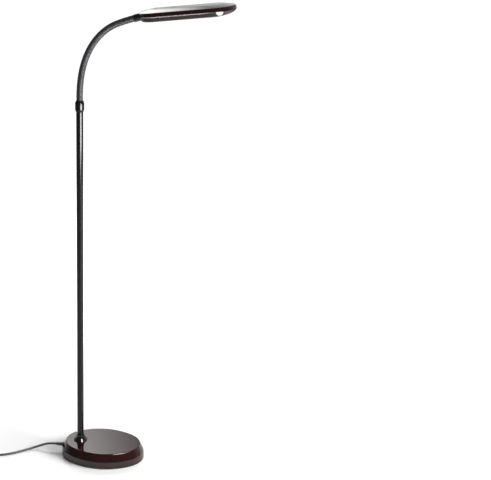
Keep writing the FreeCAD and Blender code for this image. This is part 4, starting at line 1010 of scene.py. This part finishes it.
def head_bezel():
    """Rim, sunk floor, window edge and button hole, as walls joined by flat pierced faces."""
    arcs = head_arcs()
    floor_top = DISH_DEPTH + BEZEL_WALL
    floor_inset = DISH_INSET + DISH_FLAT
    rim = followed("bezel_rim", arcs, [
        (floor_inset, DISH_DEPTH, 0),
        (DISH_INSET, DISH_DEPTH, 2.0),
        (BEZEL_RIM_INSET + BEZEL_LAND, 0, 0.5),
        (BEZEL_RIM_INSET, 0, 1.2),
        (BEZEL_LIP_INSET, SKIRT_FOOT_HEIGHT, 0.4),
        (bezel_fit(SKIRT_FOOT_HEIGHT), SKIRT_FOOT_HEIGHT, 0),
        (bezel_fit(floor_top), floor_top, 0),
        (floor_inset, floor_top, 0),
    ], HEAD, step=HEAD_STEP, height=nose_lift)
    edge = followed("bezel_window", window_arcs(), [
        (-WINDOW_LAND, DISH_DEPTH, 0), (0, DISH_DEPTH, 0.8), (0, floor_top, 0), (-WINDOW_LAND, floor_top, 0),
    ], HEAD, step=HEAD_STEP)
    hole_radius = BUTTON_RADIUS + BUTTON_GAP
    hole_land = hole_radius + 1
    hole = turned("bezel_hole", [
        (DISH_DEPTH, hole_land, 0), (DISH_DEPTH, hole_radius, 0.5),
        (floor_top, hole_radius, 0), (floor_top, hole_land, 0),
    ], HEAD @ upright(BUTTON_X, BUTTON_Y), closed=False)
    bm = bmesh.new()
    for part in (rim, edge, hole):
        bm.from_mesh(part.data)
        bpy.data.objects.remove(part)
    caps = [face for face in bm.faces if len(face.verts) > 4]
    bmesh.ops.delete(bm, geom=caps, context="FACES_ONLY")
    for z in (DISH_DEPTH, floor_top):
        loops = [outline(arcs, floor_inset, HEAD_STEP), outline(window_arcs(), -WINDOW_LAND, HEAD_STEP),
                 circle(BUTTON_X, BUTTON_Y, hole_land)]
        pierced_face(bm, loops, z, HEAD)
    bezel = welded("head_frame", bm, SEAM_MERGE_DISTANCE, SHARP_ANGLE)
    cut(bezel, boss_form("boss_way", BOSS_RADIUS + BOSS_CLEARANCE, 0))
    finish_piece(bezel, "bezel_black", "head", "head_bezel")


def lit_window():
    bottom = DISH_DEPTH + BEZEL_WALL
    top = bottom + DIFFUSER_THICKNESS
    window = followed("lit_window", window_arcs(), [
        (WINDOW_FLAT, bottom, 0), (-DIFFUSER_LAP, bottom, 0.3),
        (-DIFFUSER_LAP, top, 0.3), (WINDOW_FLAT, top, 0),
    ], HEAD)
    finish_piece(window, "opal", "head", "diffuser")


def boss():
    """Barrel with its seat for the neck turned out."""
    piece = boss_form("neck_knuckle", BOSS_RADIUS, BOSS_MOUTH_ROUND)
    bore = drill(-BOSS_OUTSIDE - DRILL_SPARE, BOSS_SEAT_DEPTH - BOSS_OUTSIDE, NECK_RADIUS + BOSS_SEAT_GAP,
                 boss_place())
    finish_piece(cut(piece, bore), "boss_black", "head", "neck_boss")


def button():
    """Cap with ring grooves in its face and a flange behind the hole."""
    face = DISH_DEPTH - BUTTON_PROUD
    floor = face + BUTTON_GROOVE
    back = face + BUTTON_THICKNESS
    rear = back + BUTTON_FLANGE_THICKNESS
    r = BUTTON_RADIUS
    corners = [
        (face + 0.1, AXIS_RADIUS, 0), (face + 0.1, 1.3, 0.2), (face + 0.7, 1.6, 0.2),
        (face + 0.7, 2.3, 0.2), (face, 2.6, 0.3), (face, 3.5, 0.3), (floor, 3.8, 0.2),
        (floor, 4.4, 0.2), (face, 4.7, 0.3), (face, 5.7, 0.3), (floor, 6.0, 0.2),
        (floor, 6.5, 0.2), (face, 6.8, 0.3), (face, r - 0.6, 0.4), (face + 0.8, r, 0.4),
        (back, r, 0), (back, r + BUTTON_FLANGE, 0), (rear, r + BUTTON_FLANGE, 0), (rear, AXIS_RADIUS, 0),
    ]
    cap = turned("push_cap", corners, HEAD @ upright(BUTTON_X, BUTTON_Y), closed=False, sides=BUTTON_SIDES)
    finish_piece(cap, "button_gold", "button", "switch_button")


# Cord

def gland():
    """Strain relief with ribs that grow towards the foot, and a flange just outside the foot's wall."""
    tip, inner = span("cord_gland", "x")
    rear = -FOOT_LENGTH / 2 + GLAND_REAR_INSET
    flange = rear - GLAND_FLANGE_THICKNESS
    bore = CORD_RADIUS + CORD_GAP
    corners = [(tip, bore, 0), (tip, GLAND_TIP_RADIUS, 0.3)]
    pitch = (flange - tip - 2 * GLAND_MARGIN) / GLAND_RIBS
    for rib in range(GLAND_RIBS):
        a = tip + GLAND_MARGIN + rib * pitch
        b = a + GLAND_RIB_SHARE * pitch
        wide = GLAND_TIP_RADIUS + (GLAND_NECK_RADIUS - GLAND_TIP_RADIUS) * (rib + 0.5) / GLAND_RIBS
        root = wide - GLAND_RIB_HEIGHT
        corners += [(a, wide, 0.2), (b, wide, 0.2), (b + 0.2, root, 0.1), (a + pitch - 0.2, root, 0.1)]
    corners += [
        (flange - 1, GLAND_NECK_RADIUS, 0.2), (flange, GLAND_NECK_RADIUS, 0),
        (flange, GLAND_FLANGE_RADIUS, 0.4), (rear, GLAND_FLANGE_RADIUS, 0),
        (rear, GLAND_NECK_RADIUS, 0), (inner, GLAND_NECK_RADIUS, 0.3), (inner, bore, 0),
    ]
    piece = turned("cord_relief", corners, Matrix.Translation((0, 0, CORD_ROUTE[0][2])), sides=GLAND_SIDES)
    finish_piece(piece, "cord_black", "stand", "cord_gland")


def coil_start():
    last = Vector(CORD_ROUTE[-1])
    way = (last - Vector(CORD_ROUTE[-2])).normalized()
    return way, last + way * (2 * CORD_RADIUS)


def coil_state(turn):
    """Radius and height after a number of turns: inwards, up a layer, and outwards."""
    level = CORD_ROUTE[-1][2]
    if turn <= COIL_TURNS_IN:
        return COIL_INNER_RADIUS + COIL_PITCH * (COIL_TURNS_IN - turn), level
    if turn <= COIL_TURNS_IN + COIL_TURNS_UP:
        t = (turn - COIL_TURNS_IN) / COIL_TURNS_UP
        height = level + COIL_PITCH * (3 * t * t - 2 * t * t * t)
        return COIL_INNER_RADIUS - COIL_PITCH / 2 * (t - t * t), height
    return COIL_INNER_RADIUS + COIL_PITCH * (turn - COIL_TURNS_IN - COIL_TURNS_UP), level + COIL_PITCH


def coil_point(turn, widen=1.0):
    """Point of the coil's centre line; widen makes up for the spline's cutting inside its points."""
    way, begin = coil_start()
    radius, level = coil_state(turn)
    centre = begin + Vector((way.y, -way.x, 0)) * coil_state(0.0)[0]
    angle = math.atan2(way.x, -way.y) - 2 * math.pi * turn
    reach = widen * radius
    return Vector((centre.x + reach * math.cos(angle), centre.y + reach * math.sin(angle), level))


def level_way(vector):
    """Direction of a vector once it is laid level."""
    return Vector((vector.x, vector.y, 0)).normalized()


def plug_start():
    """Where the cord enters the plug, and its direction there."""
    end = coil_point(COIL_TURNS)
    way = level_way(end - coil_point(COIL_TURNS - COIL_SMALL_TURN))
    outwards = level_way(end - (coil_point(0.0) + coil_point(0.5)) / 2)
    place = end + way * COIL_TAIL_LENGTH + outwards * COIL_TAIL_SPREAD
    place.z = PLUG_HEIGHT / 2
    heading = (way * COIL_TAIL_LENGTH + outwards * (2 * COIL_TAIL_SPREAD)).normalized()
    return place, heading


def cord_points():
    """The route, the coil's turns by a loop, and the tail into the plug."""
    points = [Vector(p) for p in CORD_ROUTE]
    widen = 1 / (0.75 + 0.25 * math.cos(2 * math.pi / COIL_POINTS_PER_TURN))
    count = round(COIL_TURNS * COIL_POINTS_PER_TURN)
    points += [coil_point(i / COIL_POINTS_PER_TURN, widen) for i in range(1, count + 1)]
    place, way = plug_start()
    points += [place - way * PLUG_LEAD_IN, place, place + way * (2 * CORD_RADIUS + PLUG_OVERLAP)]
    return points


def power_cord(plug_pieces):
    """One smooth tube through the cord's points."""
    curve = bpy.data.curves.new("power_cable", "CURVE")
    curve.dimensions = "3D"
    curve.bevel_depth = CORD_RADIUS * MM
    curve.bevel_resolution = CORD_ROUND_STEPS
    curve.resolution_u = CORD_PATH_STEPS
    curve.use_fill_caps = True
    points = cord_points()
    spline = curve.splines.new("NURBS")
    spline.points.add(len(points) - 1)
    for point, place in zip(spline.points, points):
        point.co = (*(place * MM), 1.0)
    spline.order_u = 3
    spline.use_endpoint_u = True
    curve.materials.append(LOOKS["cord_black"])
    cable = linked("power_cable", curve)
    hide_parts("power_cord", "power_cord_coil")
    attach(cable, "stand")


def plug_matrix():
    place, way = plug_start()
    side = Vector((-way.y, way.x, 0))
    turn = Matrix((way, side, Vector((0, 0, 1)))).transposed().to_4x4()
    return Matrix.Translation(place + way * (2 * CORD_RADIUS)) @ turn


def plug():
    """Moulded plug: rounded sections from the cord's width to the body's."""
    start = PLUG_TAIL_LENGTH
    half = PLUG_WIDTH / 2
    rise = PLUG_HEIGHT / 2
    sections = [
        (0.0, 4.4, 4.4, 1.0), (0.6, 4.6, 4.6, 1.0), (start - 4, 6.4, 6.0, 1.0), (start - 1, 8.4, 6.8, 0.8),
        (start + 2, half - 1, rise - 0.4, 0.62), (start + 6, half, rise, 0.55),
        (PLUG_LENGTH - 5, half, rise, 0.55), (PLUG_LENGTH - 1, half - 0.4, rise - 0.4, 0.55),
        (PLUG_LENGTH, half - 1.1, rise - 1.1, 0.55),
    ]
    place = plug_matrix()
    rings = []
    for x, half_width, half_height, roundness in sections:
        ring = []
        for i in range(PLUG_SIDES):
            angle = 2 * math.pi * (i + 0.5) / PLUG_SIDES
            c, s = math.cos(angle), math.sin(angle)
            y = half_width * math.copysign(abs(c) ** roundness, c)
            z = half_height * math.copysign(abs(s) ** roundness, s)
            ring.append(place @ Vector((x, y, z)))
        rings.append(ring)
    body = skinned("plug_moulding", rings, closed=False, sharp=PLUG_SHARP_ANGLE)
    return finish_piece(body, "plug_black", "stand", "plug_body")


def blade_outline():
    """Blade seen from its side, with the corners of its tip cut off."""
    half = BLADE_WIDTH / 2
    root = PLUG_LENGTH - 1
    tip = PLUG_LENGTH + BLADE_LENGTH
    shoulder = tip - BLADE_CORNER
    return [(root, -half), (shoulder, -half), (tip, -half + BLADE_CORNER), (tip, half - BLADE_CORNER),
            (shoulder, half), (root, half)]


def blades():
    points = []
    faces = []
    place = plug_matrix()
    shape = blade_outline()
    count = len(shape)
    for middle in (-BLADE_PITCH / 2, BLADE_PITCH / 2):
        first = len(points)
        for y in (middle - BLADE_THICKNESS / 2, middle + BLADE_THICKNESS / 2):
            points += [place @ Vector((x, y, z)) for x, z in shape]
        faces += [tuple(range(first, first + count)), tuple(range(first + count, first + 2 * count))]
        for i in range(count):
            j = (i + 1) % count
            faces.append((first + i, first + j, first + count + j, first + count + i))
    return finish_piece(solid("plug_pins", points, faces), "blade_brass", "stand", "plug_blades")


# Stage

def seen_directly(tree, *rays):
    """1 for rays of these kinds, 0 for all others."""
    path = add(tree, "ShaderNodeLightPath")
    seen = path.outputs[rays[0]]
    for ray in rays[1:]:
        seen = maths(tree, "MAXIMUM", seen, path.outputs[ray])
    return seen


def floor():
    """White floor: only lit near the lamp, and lifted to the white of the background far away."""
    mesh = bpy.data.meshes.new("floor")
    reach = FLOOR_REACH
    corners = [(-reach, -reach, 0), (reach, -reach, 0), (reach, reach, 0), (-reach, reach, 0)]
    mesh.from_pydata(corners, [], [(0, 1, 2, 3)])
    obj = linked("floor", mesh)
    material = bpy.data.materials.new("floor_white")
    material.use_nodes = True
    tree = material.node_tree
    place = add(tree, "ShaderNodeTexCoord").outputs["Object"]
    distance = add(tree, "ShaderNodeVectorMath", {"Vector": place}, operation="LENGTH").outputs["Value"]
    lift = ramp(tree, distance, FLOOR_LIFT_START, FLOOR_LIFT_END, FLOOR_LIFT_NEAR, FLOOR_LIFT_FAR)
    fill(tree, tree.nodes["Principled BSDF"], {
        "Base Color": (FLOOR_SHADE, FLOOR_SHADE, FLOOR_SHADE, 1),
        "Roughness": FLOOR_ROUGHNESS,
        "Specular IOR Level": FLOOR_SPECULAR,
        "Emission Color": (1, 1, 1, 1),
        "Emission Strength": maths(tree, "MULTIPLY", lift, seen_directly(tree, "Is Camera Ray")),
    })
    mesh.materials.append(material)


def world():
    """White room: white where it is looked at, even for its light, and darker in front when mirrored."""
    setting = bpy.data.worlds.new("studio")
    setting.use_nodes = True
    tree = setting.node_tree
    way = add(tree, "ShaderNodeTexCoord").outputs["Generated"]
    back = add(tree, "ShaderNodeSeparateXYZ", {"Vector": way}).outputs["Y"]
    mirrored = ramp(tree, back, ROOM_FRONT_END, ROOM_BACK_START, ROOM_FRONT, ROOM_BACK)
    lit = mixed(tree, seen_directly(tree, "Is Glossy Ray"), ROOM_LIGHT, mirrored, "FLOAT")
    strength = mixed(tree, seen_directly(tree, "Is Camera Ray", "Is Transmission Ray"), lit, 1.0, "FLOAT")
    fill(tree, tree.nodes["Background"], {"Color": (1, 1, 1, 1), "Strength": strength})
    bpy.context.scene.world = setting


def feather(tree, along, share):
    """Rises evenly from the softbox's edges, over this share of its width, to 1."""
    return ramp(tree, maths(tree, "PINGPONG", along, 0.5), 0.0, share, kind="LINEAR")


def softbox(name, place, aim, width, height, brightness, feathers=(0.02, 0.02)):
    """Area light by its full brightness, 1 being white, with feathered edges."""
    light = bpy.data.lights.new(name, "AREA")
    light.shape = "RECTANGLE"
    light.size = width
    light.size_y = height
    light.energy = brightness * math.pi * width * height
    light.use_nodes = True
    tree = light.node_tree
    spot = add(tree, "ShaderNodeNewGeometry").outputs["Parametric"]
    across = add(tree, "ShaderNodeSeparateXYZ", {"Vector": spot}).outputs
    faded = [feather(tree, across[axis], share) for axis, share in zip("XY", feathers)]
    fill(tree, tree.nodes["Emission"], {"Strength": maths(tree, "MULTIPLY", *faded)})
    obj = linked(name, light)
    obj.location = place
    obj.rotation_euler = (Vector(aim) - Vector(place)).to_track_quat("-Z", "Y").to_euler()
    obj.visible_camera = False
    return obj


def lights():
    """Panels mirrored in the tops, boxes that only light, and glints that are only mirrored."""
    softbox("back_panel", (-1.22, 3.0, 2.9), (-1.22, 0, 2.9), 2.0, 3.4, 5.5, (0.2, 0.5))
    softbox("head_panel", (0.25, 3.0, 2.45), (0.25, 0, 2.45), 1.4, 1.9, 0.6, (0.15, 0.2))
    for name, place, width, height, brightness in (
        ("side_box", (2.4, -0.4, 1.45), 1.6, 1.3, 21.0),
        ("rear_box", (-0.2, 1.9, 2.0), 1.2, 0.9, 8.0),
        ("front_box", (0.8, -2.2, 1.5), 1.0, 1.0, 4.0),
    ):
        box = softbox(name, place, (0, 0, 0.2), width, height, brightness)
        box.visible_glossy = False
    for name, place, width, height in (
        ("foot_glint", (0.64, -0.8, 0.95), 0.55, 0.8),
        ("nose_glint", (0.58, -0.4, 0.85), 0.46, 0.2),
    ):
        glint = softbox(name, place, (0.2, 0, place[2]), width, height, GLINT_BRIGHTNESS, (0.1, 0.1))
        glint.visible_diffuse = False


def camera():
    azimuth = math.radians(CAMERA_AZIMUTH)
    elevation = math.radians(CAMERA_ELEVATION)
    run = math.cos(elevation)
    back = Vector((math.sin(azimuth) * run, -math.cos(azimuth) * run, math.sin(elevation)))
    view = bpy.data.cameras.new("camera")
    view.lens = CAMERA_LENS
    view.shift_x = CAMERA_SHIFT
    obj = linked("camera", view)
    aim = (-back).to_track_quat("-Z", "Y").to_matrix().to_4x4()
    roll = Matrix.Rotation(math.radians(CAMERA_ROLL), 4, "Z")
    obj.matrix_world = Matrix.Translation(CAMERA_PLACE) @ aim @ roll
    bpy.context.scene.camera = obj


dress_cad_nodes()
foot_cover()
foot_pad()
for section in ("pole_lower", "pole_middle", "pole_upper"):
    pole_section(section)
collar()
ferrule()
neck()
head_shell()
head_bezel()
lit_window()
boss()
button()
gland()
power_cord([plug(), blades(), frame["nodes"]["cord_tie"]])
floor()
world()
lights()
camera()
bpy.context.scene.view_settings.view_transform = "Standard"
